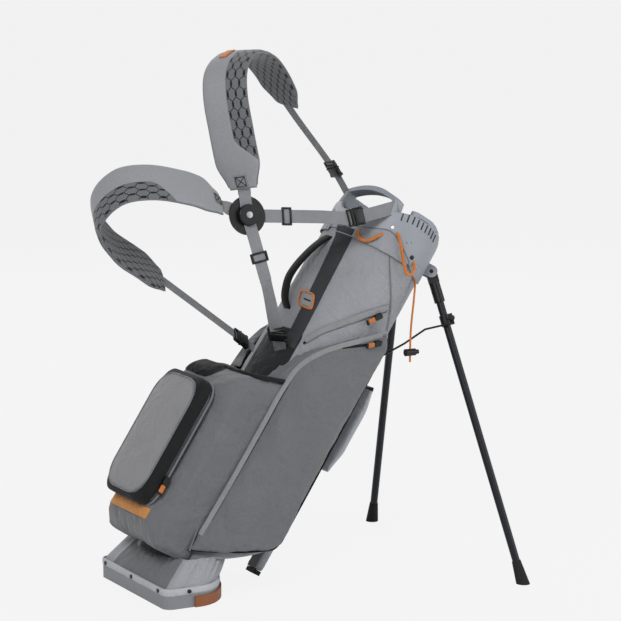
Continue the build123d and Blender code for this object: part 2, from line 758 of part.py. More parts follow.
lug_side = HINGE_ARM + HINGE_ARM_WIDTH / 2 + EAR_CLEARANCE
hinge_view = Plane(origin=(HINGE_BACK, 0, HINGE_HEIGHT), x_dir=(1, 0, 0), z_dir=(0, -1, 0))
with BuildPart() as base_foot:
    extrude(base_outline(0, ground), amount=BASE_HEIGHT)
    extrude(base_outline(-BASE_WALL, ground.offset(BASE_FLOOR)), amount=FAR, mode=Mode.SUBTRACT)
    for turn in (-1, 1):
        with BuildSketch(hinge_view.offset(lug_side if turn > 0 else -lug_side - EAR_THICKNESS)):
            Circle(HINGE_EYE)
            with Locations((0, (BASE_FLOOR - HINGE_HEIGHT) / 2)):
                Rectangle(2 * HINGE_EYE, HINGE_HEIGHT - BASE_FLOOR)
            Circle(PIN_RADIUS, mode=Mode.SUBTRACT)
        extrude(amount=EAR_THICKNESS)
write(base_foot.part, "base_foot")

with BuildPart() as base_hinge_pin:
    with BuildSketch(hinge_view):
        Circle(PIN_RADIUS)
    extrude(amount=lug_side + EAR_THICKNESS, both=True)
write(base_hinge_pin.part, "base_hinge_pin")

with BuildPart() as bracket_bar:
    with BuildSketch(Plane(origin=(0, 0, BRACKET_HEIGHT), x_dir=(1, 0, 0), z_dir=(0, -1, 0))):
        with Locations((BRACKET_BACK + HINGE_EYE - FAR / 2, 0)):
            Rectangle(FAR, 2 * HINGE_EYE)
    extrude(amount=HINGE_ARM + HINGE_ARM_WIDTH / 2, both=True)
    add(tube_inside, mode=Mode.INTERSECT)

bracket_end = Vector(BRACKET_BACK - HINGE_BACK, BRACKET_HEIGHT - HINGE_HEIGHT)
with BuildPart() as hinge_bracket:
    add(bracket_bar.part)
    for turn in (-1, 1):
        with BuildSketch(hinge_view.offset(turn * HINGE_ARM)):
            SlotCenterPoint(bracket_end / 2, bracket_end, 2 * HINGE_EYE)
            Circle(PIN_RADIUS + PIN_CLEARANCE, mode=Mode.SUBTRACT)
        extrude(amount=HINGE_ARM_WIDTH / 2, both=True)
write(hinge_bracket.part, "hinge_bracket")

strip_top = BASE_HEIGHT + STRIP_HEIGHT
with BuildPart() as boot_strip:
    extrude(base_outline(STRIP_PROUD, ground.offset(BASE_HEIGHT)), amount=STRIP_HEIGHT)
    extrude(
        base_outline(-BASE_WALL, ground.offset(BASE_HEIGHT)),
        amount=STRIP_HEIGHT,
        mode=Mode.SUBTRACT,
    )
write(boot_strip.part, "boot_strip")

rivet_height = BASE_HEIGHT + STRIP_HEIGHT / 2
with BuildPart() as band_rivets:
    for across in (-RIVET_SPREAD, 0, RIVET_SPREAD):
        with BuildSketch(
            Plane(origin=(BASE_FRONT - STRIP_PROUD, across, rivet_height), z_dir=(-1, 0, 0))
        ):
            Circle(RIVET_RADIUS)
        extrude(amount=RIVET_HEAD)
    for side in (-1, 1):
        rivet_side = side * (BASE_WIDTH / 2 + STRIP_PROUD)
        with BuildSketch(Plane(origin=(RIVET_SIDE, rivet_side, rivet_height), z_dir=(0, side, 0))):
            Circle(RIVET_RADIUS)
        extrude(amount=RIVET_HEAD)
write(band_rivets.part, "band_rivets")

with BuildPart() as base_heel:
    extrude(base_outline(HEEL_THICKNESS, ground), amount=HEEL_HEIGHT)
    extrude(base_outline(0, ground), amount=HEEL_HEIGHT, mode=Mode.SUBTRACT)
    with BuildSketch(ground):
        with Locations((HEEL_START + FAR / 2, 0)):
            Rectangle(FAR, FAR)
    extrude(amount=HEEL_HEIGHT, mode=Mode.INTERSECT)
write(base_heel.part, "base_heel")

# Fabric boot that closes the wedge between the base and the tube
boot_tilt = atan2(BOOT_FRONT_RISE - BOOT_REAR_RISE, BASE_REAR - BASE_FRONT)
boot_low = ground.offset(strip_top + STRAP_GAP)
boot_high = Plane(
    origin=(BOOT_LEAN, 0, (BOOT_FRONT_RISE + BOOT_REAR_RISE) / 2),
    x_dir=(cos(boot_tilt), 0, -sin(boot_tilt)),
    z_dir=(sin(boot_tilt), 0, cos(boot_tilt)),
)
tube_above = split(tube_outside, bisect_by=ground.offset(FLOOR_HEIGHT), keep=Keep.TOP)
with BuildPart() as boot:
    boot_foot = -BOOT_INSET
    boot_mouth = boot_foot - BOOT_GATHER
    loft([base_outline(boot_foot, boot_low), base_outline(boot_mouth, boot_high)], ruled=True)
    loft(
        [
            base_outline(boot_foot - BOOT_WALL, boot_low),
            base_outline(boot_mouth - BOOT_WALL, boot_high),
        ],
        ruled=True,
        mode=Mode.SUBTRACT,
    )
    add(tube_above, mode=Mode.SUBTRACT)
    add(cooler_pocket.part, mode=Mode.SUBTRACT)
    for pocket in side_pockets:
        add(pocket, mode=Mode.SUBTRACT)
write(boot.part, "boot")

with BuildPart() as bag_floor:
    with BuildSketch(ground.offset(FLOOR_HEIGHT)):
        Rectangle(2 * FAR, FAR)
    extrude(amount=FLOOR_THICKNESS)
    add(tube_inside, mode=Mode.INTERSECT)
    add(boot.part, mode=Mode.SUBTRACT)
    add(hinge_bracket.part, mode=Mode.SUBTRACT)
write(bag_floor.part, "bag_floor")

# Shoulder straps that cross at a round hub
hub = Vector(HUB_CENTRE)
hub_face = Vector(HUB_FACE).normalized()
web_gap = (HUB_THICKNESS + WEBBING_THICKNESS) / 2 + STRAP_GAP
web_outer = web_gap + WEBBING_THICKNESS / 2
behind_hub = hub - hub_face * web_gap
before_hub = hub + hub_face * web_gap
collar_end = behind_hub + Vector(COLLAR_STRAP) * COLLAR_RUN
side_end = before_hub + Vector(SIDE_STRAP) * SIDE_RUN
upper_start = before_hub + Vector(UPPER_STRAP) * UPPER_RUN
handle_near = spot(HANDLE_AXIS, -shoulder_half - HANDLE_BAR / 4, HANDLE_SHOULDER - HANDLE_BAR)
handle_far = spot(HANDLE_AXIS, shoulder_half + HANDLE_BAR / 4, HANDLE_SHOULDER - HANDLE_BAR)
front_anchor = Vector(212, 55, 437)
side_anchor = Vector(214, -41, 447)
far_buckle_at = Vector(406, 106, 785)

lower_along = Vector(-0.985, 0.1, 0.14)
lower_drop = Vector(-0.04, 0.66, -0.75)
lower_start = Vector(57, -99, 752)
lower_arch = (
    (0, 0), (40, -22), (82, -34), (158, -38), (212, -13), (228, 57), (173, 134), (105, 180), (41, 222),
)
lower_points = [lower_start + lower_along * along + lower_drop * drop for along, drop in lower_arch]
lower_across = lower_along.cross(lower_drop).normalized()
upper_along = Vector(0.742, 0.671, 0)
upper_rise = Vector(-0.227, 0, 0.974)
upper_arch = (
    (0, 0), (-3, 60), (0, 120), (6, 175), (30, 220), (80, 246), (150, 252), (215, 238), (270, 200),
    (320, 136),
)
upper_points = [upper_start + upper_along * along + upper_rise * rise for along, rise in upper_arch]
upper_across = upper_along.cross(upper_rise).normalized()
lower_middle = [PAD_WIDTH] * (len(lower_points) - 2)
upper_middle = [PAD_WIDTH] * (len(upper_points) - 2)
lower_strap_pad = cushion_band(
    lower_points, lower_across, [PAD_END, *lower_middle, PAD_END], PAD_EDGE, PAD_CROWN
)
upper_strap_pad = cushion_band(
    upper_points, upper_across, [PAD_END, *upper_middle, PAD_END], PAD_EDGE, PAD_CROWN, PAD_TWIST
)
write(lower_strap_pad, "lower_strap_pad")
write(upper_strap_pad, "upper_strap_pad")


def band_face(points, across, first):
    """The direction that a padded band faces at one of its ends."""
    near, far = (points[0], points[1]) if first else (points[-2], points[-1])
    return (far - near).normalized().cross(across)


lower_face = band_face(lower_points, lower_across, True)
lower_tail = band_face(lower_points, lower_across, False)
upper_face = band_face(upper_points, upper_across, True)
upper_end = upper_points[-1] - upper_points[-2]
upper_lie = upper_across.rotate(Axis((0, 0, 0), upper_end), PAD_TWIST)
upper_tail = band_face(upper_points, upper_lie, False)
to_side = (side_anchor - side_end).normalized()
to_front = (front_anchor - lower_points[-1]).normalized()
to_handle = (handle_near - collar_end).normalized()
to_far = (handle_far - far_buckle_at).normalized()
side_turn = Vector(-0.55, -0.6, 0.1)
buckle_seats = (
    (collar_end, to_handle, hub_face),
    (side_end + to_side * 0.7 * (side_anchor - side_end).length, to_side, side_turn),
    (lower_points[-1] + to_front * 0.8 * (front_anchor - lower_points[-1]).length, to_front, lower_tail),
    (far_buckle_at, to_far, upper_tail),
)
with BuildPart() as buckle_sockets:
    for seat, travel, face in buckle_seats:
        across = travel.cross(face).normalized()
        with BuildSketch(Plane(origin=seat, x_dir=across, z_dir=travel)):
            RectangleRounded(BUCKLE_WIDTH, BUCKLE_THICKNESS, WEBBING_THICKNESS)
        extrude(amount=SOCKET_LENGTH)
write(buckle_sockets.part, "buckle_sockets")

with BuildPart() as buckle_prongs:
    for seat, travel, face in buckle_seats:
        across = travel.cross(face).normalized()
        with BuildSketch(Plane(origin=seat, x_dir=across, z_dir=travel)):
            RectangleRounded(BUCKLE_WIDTH - 2, BUCKLE_THICKNESS - 2, WEBBING_THICKNESS)
        extrude(amount=-PRONG_LENGTH)
write(buckle_prongs.part, "buckle_prongs")

with BuildPart() as hub_cap:
    with BuildSketch(Plane(origin=hub, z_dir=hub_face).offset(web_outer)):
        Circle(CAP_RADIUS)
    extrude(amount=CAP_THICKNESS)
    fillet(hub_cap.faces().sort_by(Axis(hub, hub_face))[-1].edges(), CAP_THICKNESS / 3)
    with BuildSketch(Plane(origin=hub, z_dir=hub_face).offset(-web_outer)):
        Circle(RIVET_SHAFT)
    extrude(amount=2 * web_outer)
    with BuildSketch(Plane(origin=hub, z_dir=hub_face).offset(-web_outer)):
        Circle(CAP_RADIUS / 2)
    extrude(amount=-RIVET_HEAD)
write(hub_cap.part, "hub_cap")

with BuildPart() as hub_disc:
    with BuildSketch(Plane(origin=hub, z_dir=hub_face)):
        Circle(HUB_RADIUS)
        Circle(RIVET_SHAFT + ROD_CLEARANCE, mode=Mode.SUBTRACT)
    extrude(amount=HUB_THICKNESS / 2, both=True)
write(hub_disc.part, "hub_disc")

hub_edge = HUB_RADIUS + STRAP_GAP
lower_edge = behind_hub + Vector(FRONT_STRAP) * hub_edge
upper_edge = before_hub + Vector(UPPER_STRAP) * hub_edge
lower_tuck = lower_points[0] + (lower_points[1] - lower_points[0]) / 4
upper_tuck = upper_points[0] + (upper_points[1] - upper_points[0]) / 4
web_routes = {
    "lower_webbing": (
        (handle_near, collar_end, behind_hub, lower_edge, lower_points[0], lower_tuck),
        (hub_face, hub_face, hub_face, hub_face, lower_face, lower_face),
    ),
    "front_webbing": (
        (lower_points[-2], lower_points[-1], front_anchor),
        (lower_tail, lower_tail, lower_tail),
    ),
    "upper_webbing": (
        (side_anchor, side_end, before_hub, upper_edge, upper_points[0], upper_tuck),
        (side_turn, hub_face, hub_face, hub_face, upper_face, upper_face),
    ),
    "far_webbing": (
        (upper_points[-2], upper_points[-1], far_buckle_at, handle_far),
        (upper_tail, upper_tail, upper_tail, upper_tail),
    ),
}
smallest_length = WEBBING * WEBBING * WEBBING_THICKNESS / 2
for web_name, (points, faces) in web_routes.items():
    with BuildPart() as webbing:
        add(ribbon(points, faces, WEBBING, WEBBING_THICKNESS))
        for neighbour in (
            lower_strap_pad,
            upper_strap_pad,
            buckle_sockets.part,
            buckle_prongs.part,
            hub_cap.part,
            lift_handle.part,
            top_collar.part,
            tube_outside,
        ):
            add(neighbour, mode=Mode.SUBTRACT)
    lengths = [length for length in webbing.solids() if length.volume > smallest_length]
    write(Compound(lengths), web_name)

for glide_name, start, along, reach in (
    ("collar_glide", behind_hub, Vector(COLLAR_STRAP), COLLAR_GLIDE_AT),
    ("side_glide", before_hub, Vector(SIDE_STRAP), SIDE_GLIDE_AT),
):
    seat = start + along * reach
    with BuildPart() as glide:
        with BuildSketch(Plane(origin=seat, x_dir=along.cross(hub_face), z_dir=along)):
            Rectangle(WEBBING + 2 * GLIDE_FRAME, WEBBING_THICKNESS + 2 * GLIDE_FRAME / 2)
            Rectangle(
                WEBBING + 2 * GLIDE_GAP, WEBBING_THICKNESS + 2 * GLIDE_GAP, mode=Mode.SUBTRACT
            )
        extrude(amount=GLIDE_LENGTH / 2, both=True)
    write(glide.part, glide_name)

# Grab handle on the front, orange loops under the collar and the pull cord
grab_route = (
    (-30, 5, 770), (-47, 5, 754), (-66, 5, 710), (-76, 5, 658), (-68, 5, 625), (-55, 5, 606),
    (-30, 5, 590),
)
with BuildPart() as grab_handle:
    add(
        ribbon(
            [spot(*point) for point in grab_route],
            [TO_LEGS] * len(grab_route),
            WEBBING,
            3 * WEBBING_THICKNESS,
        )
    )
    add(tube_outside, mode=Mode.SUBTRACT)
    add(side_band.part, mode=Mode.SUBTRACT)
write(grab_handle.part, "grab_handle")


def rope(points, radius):
    """A round cord through points."""
    route = [Vector(point) for point in points]
    with BuildPart() as cord:
        for index, point in enumerate(route):
            ahead = route[min(index + 1, len(route) - 1)]
            behind = route[max(index - 1, 0)]
            with BuildSketch(Plane(origin=point, x_dir=(0.3, 0.9, 0.1), z_dir=ahead - behind)):
                Circle(radius)
        loft(ruled=True)
    return cord.part


near_loop = (
    (-26, -66, 793), (-36, -70, 788), (-30, -86, 774), (-18, -101, 778), (-8, -110, 800), (2, -104, 806),
)
long_loop = (
    (19, -118, 820), (22, -132, 812), (60, -139, 765), (74, -140, 758), (82, -138, 768), (80, -133, 785),
    (77, -122, 790),
)
with BuildPart() as orange_loops:
    for loop in (near_loop, long_loop):
        add(rope([spot(*point) for point in loop], ROPE_RADIUS))
    add(top_collar.part, mode=Mode.SUBTRACT)
    add(tube_outside, mode=Mode.SUBTRACT)
write(orange_loops.part, "orange_loops")

cord_route = (
    (457, -118, 422), (457, -118, 455), (459, -118, 495), (465, -118, 543), (469, -118, 588),
    (469, -108, 592),
)
with BuildPart() as pull_cord:
    add(rope(cord_route, CORD_RADIUS))
    add(tube_outside, mode=Mode.SUBTRACT)
    add(top_collar.part, mode=Mode.SUBTRACT)
write(pull_cord.part, "pull_cord")

lock_middle = Vector(457, -118, 441)
lock_view = Plane(origin=lock_middle, x_dir=(0, 1, 0), z_dir=(1, 0, 0))
button_seat = LOCK_LENGTH / 2 - 2 * BUTTON_TRAVEL
with BuildPart() as cord_lock:
    with BuildSketch(lock_view):
        Circle(LOCK_RADIUS)
    extrude(amount=LOCK_LENGTH / 2, both=True)
    with BuildSketch(lock_view.offset(button_seat)):
        Circle(BUTTON_RADIUS + BUTTON_CLEARANCE)
    extrude(amount=LOCK_LENGTH, mode=Mode.SUBTRACT)
    with BuildSketch(Plane(origin=lock_middle)):
        Circle(CORD_RADIUS)
    extrude(amount=LOCK_LENGTH, both=True, mode=Mode.SUBTRACT)
write(cord_lock.part, "cord_lock")

with BuildPart() as cord_button:
    with BuildSketch(lock_view.offset(button_seat + BUTTON_TRAVEL + STRAP_GAP)):
        Circle(BUTTON_RADIUS)
    extrude(amount=LOCK_LENGTH / 2 - STRAP_GAP)
write(cord_button.part, "cord_button")


# Zips and their pullers
def tube_seat(back, height, grow):
    """A point of the grown tube's right side and the direction it faces there."""
    axis = between(height, FOOT_AXIS, TOP_AXIS)
    depth = between(height, FOOT_DEPTH, TOP_DEPTH) / 2 + grow
    width = between(height, FOOT_WIDTH, TOP_WIDTH) / 2 + grow
    angle = acos((back - axis) / depth)
    face = heading(cos(angle) / depth, -sin(angle) / width, 0).normalized()
    return spot(back, -width * sin(angle), height), face


def slanted_zip(low, high, proud, ground):
    """A strip of zip between two points of the side view, standing proud of the ground."""
    low_end = Vector(low)
    high_end = Vector(high)
    slant = high_end - low_end
    edge = Vector(-slant.Y, slant.X).normalized() * ZIP_WIDTH / 2
    with BuildPart() as strip:
        with BuildSketch(side_view):
            with BuildLine():
                Polyline(low_end + edge, low_end - edge, high_end - edge, high_end + edge, close=True)
            make_face()
        extrude(amount=FAR)
        add(proud, mode=Mode.INTERSECT)
        add(ground, mode=Mode.SUBTRACT)
    return strip.part


ball_zip_back = COOLER_FRONT - 6
ball_zip_low = BALL_LOW + BALL_CORNER
ball_zip_high = BALL_HIGH - BALL_CORNER
pocket_proud = tube_blank(POCKET_THICKNESS + ZIP_PROUD, BLANK_LOW, BLANK_HIGH)
upper_proud = tube_blank(ZIP_PROUD, BLANK_LOW, TUBE_LENGTH)
with BuildPart() as zips:
    add(slanted_zip((-24, 548), (80, 682), upper_proud, tube_outside))
    add(slanted_zip((30, 578), (92, 622), pocket_proud, pocket_outside))
    with BuildSketch(side_view.offset(BALL_WIDTH / 2)):
        with Locations((ball_zip_back, (ball_zip_low + ball_zip_high) / 2)):
            Rectangle(ZIP_WIDTH, ball_zip_high - ball_zip_low)
    extrude(amount=ZIP_PROUD)
write(zips.part, "zips")

upper_seat, upper_out = tube_seat(64, 661, ZIP_PROUD)
upper_before, upper_turned = tube_seat(58, 653, ZIP_PROUD)
pocket_seat, pocket_out = tube_seat(80, 613.5, POCKET_THICKNESS + ZIP_PROUD)
pocket_before, pocket_turned = tube_seat(74, 609.2, POCKET_THICKNESS + ZIP_PROUD)
ball_seat = spot(ball_zip_back, -BALL_WIDTH / 2 - ZIP_PROUD, ball_zip_low + TAB_LENGTH)
upper_run = (upper_seat - upper_before).normalized()
pocket_run = (pocket_seat - pocket_before).normalized()
for puller_name, seat, travel, face in (
    ("upper_puller", upper_seat, upper_run, upper_out),
    ("pocket_puller", pocket_seat, pocket_run, pocket_out),
    ("ball_puller", ball_seat, UP_BAG, Vector(0, -1, 0)),
):
    square = (face - travel * face.dot(travel)).normalized()
    rest = Plane(origin=seat, x_dir=travel, z_dir=square).offset(STRAP_GAP)
    with BuildPart() as puller:
        with BuildSketch(rest):
            RectangleRounded(PULLER_LENGTH, PULLER_WIDTH, ZIP_PROUD)
        extrude(amount=PULLER_HEIGHT)
        with BuildSketch(rest.offset(PULLER_HEIGHT - ZIP_PROUD)):
            with Locations((-TAB_LENGTH / 2, 0)):
                RectangleRounded(TAB_LENGTH, TAB_WIDTH, ZIP_PROUD)
        extrude(amount=ZIP_PROUD)
    write(puller.part, puller_name)
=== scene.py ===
"""Looks of a golf stand bag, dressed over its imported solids.

Everything is in metres in the part's own frame: +Z is up and the bag leans towards +X. Most
pieces are placed in the bag's frame: back towards the legs, left, and up along the tube.
"""

from math import acos, cos, pi, radians, sin, sqrt

import bpy
from mathutils import Matrix, Quaternion, Vector, noise


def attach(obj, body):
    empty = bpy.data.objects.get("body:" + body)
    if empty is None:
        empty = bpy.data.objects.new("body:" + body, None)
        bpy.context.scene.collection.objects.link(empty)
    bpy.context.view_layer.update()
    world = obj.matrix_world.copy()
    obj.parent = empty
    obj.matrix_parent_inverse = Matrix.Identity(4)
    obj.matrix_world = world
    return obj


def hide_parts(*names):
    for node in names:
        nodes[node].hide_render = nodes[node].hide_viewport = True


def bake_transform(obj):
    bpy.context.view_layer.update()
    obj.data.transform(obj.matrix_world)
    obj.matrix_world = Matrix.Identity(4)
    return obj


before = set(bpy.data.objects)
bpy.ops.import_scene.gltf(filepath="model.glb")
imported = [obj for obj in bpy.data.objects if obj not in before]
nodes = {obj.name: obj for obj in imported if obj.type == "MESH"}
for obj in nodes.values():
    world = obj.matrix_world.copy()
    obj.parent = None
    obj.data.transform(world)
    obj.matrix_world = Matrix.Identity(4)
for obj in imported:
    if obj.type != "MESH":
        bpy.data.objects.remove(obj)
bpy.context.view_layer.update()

# Sizes of the bag, as in its solids
MM = 0.001
LEAN = radians(33)
SETBACK = 36 * MM
TUBE_FOOT = 100 * MM
TUBE_TOP = 800 * MM
FOOT_AXIS = 48 * MM
TOP_AXIS = 57 * MM
FOOT_DEPTH = 112 * MM
TOP_DEPTH = 98 * MM
FOOT_WIDTH = 135 * MM
TOP_WIDTH = 125 * MM
FLOOR_HEIGHT = 80 * MM

TO_LEGS = Vector((cos(LEAN), 0, -sin(LEAN)))
LEFTWARD = Vector((0, 1, 0))
UP_BAG = Vector((sin(LEAN), 0, cos(LEAN)))
ORIGIN = Vector((-SETBACK, 0, 0))


def spot(back, left, up):
    """A point of the bag's frame, given in millimetres."""
    return ORIGIN + (TO_LEGS * back + LEFTWARD * left + UP_BAG * up) * MM


def between(up, foot, top):
    """A size of the tube at a height, from its sizes at the foot and the top."""
    return foot + (top - foot) * (up - TUBE_FOOT) / (TUBE_TOP - TUBE_FOOT)


def tube_point(angle, up, swell):
    """A point round the tube in metres, with its outward direction. Angle 0 is at the back."""
    axis = between(up, FOOT_AXIS, TOP_AXIS)
    depth = between(up, FOOT_DEPTH, TOP_DEPTH) + swell
    width = between(up, FOOT_WIDTH, TOP_WIDTH) + swell
    place = ORIGIN + TO_LEGS * (axis + depth * cos(angle)) + LEFTWARD * width * sin(angle) + UP_BAG * up
    out = (TO_LEGS * (cos(angle) / depth) + LEFTWARD * (sin(angle) / width)).normalized()
    return place, out


def tube_angle(back, up):
    """The angle round the tube of its right-hand point at back and up, in millimetres."""
    axis = between(up * MM, FOOT_AXIS, TOP_AXIS)
    depth = between(up * MM, FOOT_DEPTH, TOP_DEPTH)
    return -acos(max(-1.0, min(1.0, (back * MM - axis) / depth)))


def side_point(back, up, swell, side=-1):
    """A point of the tube's side, swelled in millimetres. Side -1 is the right and 1 the left."""
    height = up * MM
    axis = between(height, FOOT_AXIS, TOP_AXIS)
    depth = between(height, FOOT_DEPTH, TOP_DEPTH) + swell * MM
    turn = max(-1.0, min(1.0, (back * MM - axis) / depth))
    return tube_point(side * acos(turn), height, swell * MM)[0]


def side_line(path, swell, side=-1):
    """The points of the tube's side along a path of (back, up)."""
    return [side_point(back, up, swell, side) for back, up in path]


def tube_outward(place):
    """The direction straight out of the tube's side at a place."""
    local = place - ORIGIN
    up = local.dot(UP_BAG)
    depth = between(up, FOOT_DEPTH, TOP_DEPTH)
    width = between(up, FOOT_WIDTH, TOP_WIDTH)
    back = local.dot(TO_LEGS) - between(up, FOOT_AXIS, TOP_AXIS)
    return (TO_LEGS * (back / depth**2) + LEFTWARD * (local.y / width**2)).normalized()


def ease(value):
    """A smooth step from 0 to 1."""
    value = max(0.0, min(1.0, value))
    return value * value * (3 - 2 * value)


# Modelling helpers
def deselect():
    """Leaves nothing selected, because operators act on all that is."""
    if bpy.context.object and bpy.context.object.mode != "OBJECT":
        bpy.ops.object.mode_set(mode="OBJECT")
    bpy.ops.object.select_all(action="DESELECT")


def pick(piece):
    """Makes one piece the selected and active one."""
    deselect()
    piece.select_set(True)
    bpy.context.view_layer.objects.active = piece


def apply_modifier(piece, kind, **settings):
    """Adds a modifier with its settings and applies it."""
    pick(piece)
    modifier = piece.modifiers.new(kind.title(), kind)
    for name, value in settings.items():
        setattr(modifier, name, value)
    bpy.ops.object.modifier_apply(modifier=modifier.name)


def edit(piece, *steps):
    """Runs edit-mode steps on the whole of a piece."""
    pick(piece)
    bpy.ops.object.mode_set(mode="EDIT")
    bpy.ops.mesh.select_all(action="SELECT")
    for step, settings in steps:
        step(**settings)
    bpy.ops.object.mode_set(mode="OBJECT")


def smooth(piece, angle=40):
    """Shades a piece smooth, but for its sharp edges."""
    pick(piece)
    bpy.ops.object.shade_smooth_by_angle(angle=radians(angle))


def shaped_grid(name, columns, rows, place, closed=False, chart=None, mark=None, facing=None):
    """A grid whose points go where place(u, v) puts them.

    Its UV map follows chart(u, v), in metres, and its points carry mark(u, v) as
    "inlay_and_painted_shade": inlays, and the painted shade on the boot's front. Closed joins the
    first and last columns into a tube and fills the ends. An open sheet faces facing.
    """
    deselect()
    bpy.ops.mesh.primitive_grid_add(x_subdivisions=columns, y_subdivisions=rows, size=2)
    piece = bpy.context.object
    piece.name = name
    shares = [((point.co.x + 1) / 2, (point.co.y + 1) / 2) for point in piece.data.vertices]
    for point, share in zip(piece.data.vertices, shares):
        point.co = place(*share)
    if mark:
        inlay_and_painted_shade = piece.data.attributes.new("inlay_and_painted_shade", "FLOAT", "POINT")
        for item, share in zip(inlay_and_painted_shade.data, shares):
            item.value = mark(*share)
    if chart:
        for corner in piece.data.uv_layers.active.data:
            corner.uv = chart(*corner.uv)
    edit(piece, (bpy.ops.mesh.remove_doubles, {"threshold": 1e-6}))
    if closed:
        pick(piece)
        bpy.ops.object.mode_set(mode="EDIT")
        bpy.ops.mesh.select_all(action="DESELECT")
        bpy.ops.mesh.select_non_manifold()
        bpy.ops.mesh.fill_holes(sides=0)
        bpy.ops.object.mode_set(mode="OBJECT")
    edit(piece, (bpy.ops.mesh.normals_make_consistent, {"inside": False}))
    if facing and sum(face.normal.dot(facing) * face.area for face in piece.data.polygons) < 0:
        edit(piece, (bpy.ops.mesh.flip_normals, {}))
    smooth(piece, 60)
    return piece


def rest_on(piece, ground):
    """Lifts the points of a piece that lie inside the swelled fabric under it to its surface."""
    apply_modifier(piece, "SHRINKWRAP", target=ground, wrap_mode="OUTSIDE", offset=0.7 * MM)
    return piece


def sheet(name, columns, rows, place, thickness, ground=None, **form):
    """An open grid, laid on the ground given and thickened inwards."""
    piece = shaped_grid(name, columns, rows, place, **form)
    if ground:
        rest_on(piece, ground)
    apply_modifier(piece, "SOLIDIFY", thickness=thickness, offset=-1)
    return piece


def stretch_at(points, share):
    """The number of the stretch between points that is share of the way along, and its own share."""
    lengths = [0.0]
    for near, far in zip(points, points[1:]):
        lengths.append(lengths[-1] + (far - near).length)
    goal = share * lengths[-1]
    index = max(0, min(len(points) - 2, sum(1 for length in lengths[1:-1] if length <= goal)))
    return index, (goal - lengths[index]) / (lengths[index + 1] - lengths[index])


def route_at(points, share):
    """A point on a smooth line through points, share of the way along, and its direction."""
    index, local = stretch_at(points, share)
    near, far = points[index], points[index + 1]
    run = (far - near).length
    before = points[index - 1] if index > 0 else near * 2 - far
    after = points[index + 2] if index + 2 < len(points) else far * 2 - near
    leave = (far - before).normalized() * run
    arrive = (after - near).normalized() * run
    t, t2, t3 = local, local**2, local**3
    place = (
        near * (2 * t3 - 3 * t2 + 1)
        + leave * (t3 - 2 * t2 + t)
        + far * (3 * t2 - 2 * t3)
        + arrive * (t3 - t2)
    )
    travel = (
        near * (6 * t2 - 6 * t)
        + leave * (3 * t2 - 4 * t + 1)
        + far * (6 * t - 6 * t2)
        + arrive * (3 * t2 - 2 * t)
    )
    return place, travel.normalized()


def route_length(points):
    """The length of a line through points."""
    return sum((far - near).length for near, far in zip(points, points[1:]))


def webbing_strap(name, points, faces, width, thickness, rows=90):
    """A flat woven strap through points, turned to the face given for each of them."""
    route = [Vector(point) for point in points]
    looks = [Vector(face).normalized() for face in faces]
    for index in range(1, len(looks)):
        if looks[index].dot(looks[index - 1]) < 0:
            looks[index] = -looks[index]
    total = route_length(route)
    outline = ((-1, -0.5), (-0.9, -1), (0.9, -1), (1, -0.5), (1, 0.5), (0.9, 1), (-0.9, 1), (-1, 0.5))

    def place(u, v):
        centre, travel = route_at(route, v)
        index, local = stretch_at(route, v)
        face = looks[index].lerp(looks[index + 1], ease(local))
        across = travel.cross(face).normalized()
        out = across.cross(travel).normalized()
        side, rise = outline[round(u * len(outline)) % len(outline)]
        return centre + across * side * width / 2 + out * rise * thickness / 2

    def chart(u, v):
        return (2 * width * u, total * v)

    return shaped_grid(name, len(outline), rows, place, closed=True, chart=chart)


def pad_form(points, across, widths, crown, twist=0):
    """The form of a padded strap through points: a function of its girth u and its length v.

    It gives the point, and the place across in metres. Past its middle the strap turns by twist.
    """
    side_way = Vector(across).normalized()
    end_width, full_width = widths
    total = route_length(points)
    taper = 55 * MM / total
    tip = 6 * MM / total

    def form(u, v):
        centre, travel = route_at(points, v)
        lie = side_way.copy()
        lie.rotate(Quaternion(travel, radians(twist) * max(0.0, 2 * v - 1)))
        out = lie.cross(travel).normalized()
        near_end = min(v, 1 - v)
        width = end_width + (full_width - end_width) * ease(near_end / taper)
        fullness = 0.55 + 0.45 * ease(near_end / taper)
        closing = sqrt(max(0.02, 1 - (1 - min(1.0, near_end / tip)) ** 2))
        flat, high = cos(2 * pi * u), sin(2 * pi * u)
        side = abs(flat) ** 0.5 * (1 if flat > 0 else -1)
        rise = abs(high) ** 0.7 * (1 if high > 0 else -1)
        ripple = 0.9 * MM * noise.noise(centre * 40 + Vector((side * 2, 0, rise)))
        lift = rise * (crown / 2 * fullness * closing + ripple)
        return centre + lie * side * width / 2 + out * lift, side * width / 2

    return form


def strip_on(name, centres, width, crown, outward, rows=60):
    """A narrow strip along centres, lying on a surface with a direction outward(place)."""
    total = route_length(centres)

    def place(u, v):
        centre, travel = route_at(centres, v)
        out = outward(centre)
        across = travel.cross(out).normalized()
        side = 2 * u - 1
        return centre + across * side * width / 2 + out * crown * (1 - side**4)

    def chart(u, v):
        return (width * u, total * v)

    return shaped_grid(name, 8, rows, place, chart=chart, facing=outward(centres[len(centres) // 2]))


def rounded_frame(share, half_wide, half_high, corner):
    """A point across and up on a rounded rectangle, share of the way round it by length."""
    arc = corner * pi / 2
    left = share % 1 * 4 * (half_wide + half_high - 2 * corner + arc)
    for quarter in range(4):
        turn = quarter * pi / 2
        reach, half_run = (half_wide, half_high) if quarter % 2 == 0 else (half_high, half_wide)
        half_run -= corner
        if left < 2 * half_run:
            along = left - half_run
            return reach * cos(turn) - along * sin(turn), reach * sin(turn) + along * cos(turn)
        left -= 2 * half_run
        if left < arc or quarter == 3:
            bend = turn + min(left, arc) / corner
            inset = reach - corner
            wide = inset * cos(turn) - half_run * sin(turn) + corner * cos(bend)
            return wide, inset * sin(turn) + half_run * cos(turn) + corner * sin(bend)
        left -= arc


